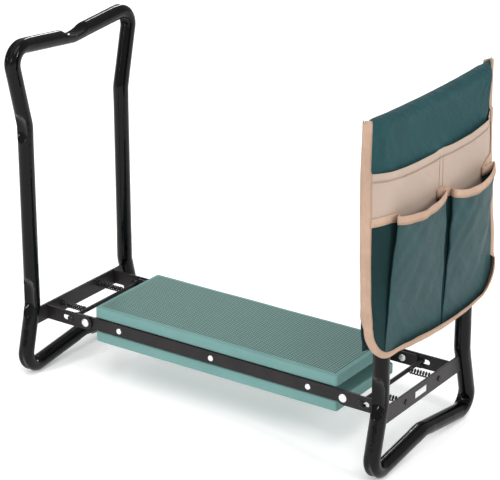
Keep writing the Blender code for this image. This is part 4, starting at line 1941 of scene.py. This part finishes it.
    def _tape_end(self, end: str, sign: float) -> None:
        """The turned-in end of the tape at a top corner of the hood.

        Args:
            end: Front or rear.
            sign: -1 for the front, 1 for the rear.
        """
        s = self.shape
        z = s.top + 0.0004
        y = sign * (s.half_width - 0.0048)
        x = s.front_x(y, s.top)
        lean = Vector((-0.55, sign * 0.835, 0))
        if sign > 0:
            lean.normalize()
        out = Vector((lean.y * sign, -lean.x * sign, 0))
        rows = []
        for k in range(9):
            share = k / 8
            rise = z - 0.013 + 0.0148 * share
            swell = 1.0 if share < 0.85 else 0.82
            row = []
            for angle in around(16):
                across, thick = math.cos(angle), math.sin(angle)
                across = math.copysign(abs(across) ** 0.6, across) * 0.0050 * swell
                thick = math.copysign(abs(thick) ** 0.7, thick) * 0.0019 * swell
                place = Vector((x, y, rise)) + lean * across + out * thick
                row.append(place + Vector((0, 0, 0.0007 * across / 0.005)))
            rows.append(row)
        piece = loft(f"bag_tape_end_{end}", rows, ring=True, capped=True)
        piece.data.set_sharp_from_angle(angle=math.radians(60))
        self.settle(piece, Coat.TAPE, "right_frame", [f"bag_side_seam_{end}"])

    def _stitches(self, name: str, line: Sequence[tuple[Vector, Vector]], coat: Coat, pitch: float = 0.0034,
                  radius: float = 0.00034) -> None:
        """A run of sewn stitches along a line.

        Args:
            name: The piece's name.
            line: (point, outward direction) along the seam.
            coat: The thread's finish.
            pitch: Length of one stitch with its gap.
            radius: Thread radius.
        """
        points: list[Vector] = []
        faces: list[tuple[int, ...]] = []
        travelled, target = 0.0, pitch / 2
        spots = []
        for (a, out_a), (b, out_b) in zip(line, line[1:]):
            run = (b - a).length
            while travelled + run >= target and run > 0:
                share = (target - travelled) / run
                spots.append((a.lerp(b, share), (b - a).normalized(), out_a.lerp(out_b, share).normalized()))
                target += pitch
            travelled += run
        sides = 6
        for middle, ahead, out in spots:
            across = ahead.cross(out).normalized()
            start = len(points)
            shape = ((-0.40, 0.25, -0.3), (-0.30, 0.9, 0.35), (0.0, 1.0, 0.7),
                     (0.30, 0.9, 0.35), (0.40, 0.25, -0.3))
            for along_share, swell, lift in shape:
                centre = middle + ahead * (along_share * pitch) + out * (lift * radius)
                for angle in around(sides):
                    points.append(centre + across * (radius * swell * math.cos(angle))
                                  + out * (radius * swell * math.sin(angle)))
            for r in range(len(shape) - 1):
                for k in range(sides):
                    a, b = start + r * sides + k, start + r * sides + (k + 1) % sides
                    faces.append((a, b, b + sides, a + sides))
            last = start + (len(shape) - 1) * sides
            faces.append(tuple(range(start + sides - 1, start - 1, -1)))
            faces.append(tuple(range(last, last + sides)))
        self.settle(mesh_object(name, points, faces), coat, "right_frame")

    def _stitching(self) -> None:
        """The seams that show: along the tapes, down the middle, and along the wide pocket's hem."""
        s = self.shape
        out = Vector((1, 0, 0))
        top, low = self._wide_top(0.0) - 0.001, self.pocket_top - 0.006
        for name, y in (("front", -0.0041), ("rear", 0.0041)):
            line = [(Vector((self._wide_x(y, z) + self.cloth * 0.75, y, z)), out)
                    for z in (lerp(top, low, k / 24) for k in range(25))]
            self._stitches(f"bag_middle_seam_{name}", line, Coat.THREAD, 0.0030, 0.00042)
        hem = []
        for c in range(81):
            y = lerp(-0.147, 0.147, c / 80)
            z = self._wide_top(y) - 0.0098
            hem.append((Vector((self._wide_x(y, z) + self.cloth * 1.15, y, z)), out))
        self._stitches("bag_hem_seam", hem, Coat.THREAD)
        inner = s.outline(0.0098)
        nearer, further = s.outline(0.0112), s.outline(0.0070)
        edge = []
        rims = s.outline(0.0006)
        spreads = [self._tape_spread(*rim) for rim in rims]
        lines = [[tuple(lerp(a, b, share) for a, b in zip(rim, spot))
                  for rim, spot, share in zip(rims, run, spreads)] for run in (inner, nearer, further)]
        for (y, z), (y0, z0), (y1, z1) in zip(*lines):
            front = [Vector((self._bound_x(v, w), v, w)) for v, w in ((y0, z0), (y, z), (y1, z1))]
            facing = self._facing(front[2] - front[0], (y0, z0), (y1, z1))
            edge.append((front[1] + facing * (self.tape_stand * 1.3 + 0.0002), facing))
        self._stitches("bag_tape_seam", edge, Coat.THREAD)
        for side, sign in SIDES:
            row = self._pleat_row(sign, 1.0)
            line = []
            for i, place in enumerate(row[20:-14]):
                run = row[min(i + 21, len(row) - 1)] - row[i + 19]
                normal = Vector((run.y, -run.x)).normalized() * -sign
                normal = normal if normal.x > 0 else -normal
                lifted = place + normal * self.tape_stand * 1.25
                point = self._pocket_point(sign, 1.0, lifted, self.tape_width * 0.86)
                line.append((Vector(point), Vector((normal.x, normal.y, 0))))
            self._stitches(f"bag_{side}_mouth_seam", line, Coat.THREAD)


# ---------------------------------------------------------------- whole kneeler


def dress_plain_nodes() -> None:
    """Gives the label, and any node that is still shown, its own finish."""
    by_slot = {coat.slot: coat for coat in reversed(Coat)}
    slots = {row["node"]: row["material_slot"] for row in frame["record"]["subparts"]}
    for node, piece in frame["nodes"].items():
        if piece.hide_render:
            continue
        coat = by_slot[slots[node]]
        for holder in piece.material_slots:
            holder.material = coat.material
        LOG.info("%s keeps its own shape, finish %s", node, coat.name.lower())


def main() -> None:
    """Builds the studio and each sub-assembly."""
    Studio().build()
    for side in ("left", "right"):
        SideFrame(side).build()
        LockSet(side).build()
    SeatDeck().build()
    FoamPad("upper_pad", True).build()
    FoamPad("lower_pad", False).build()
    ToolBag().build()
    dress_plain_nodes()


if __name__ == "__main__":
    main()
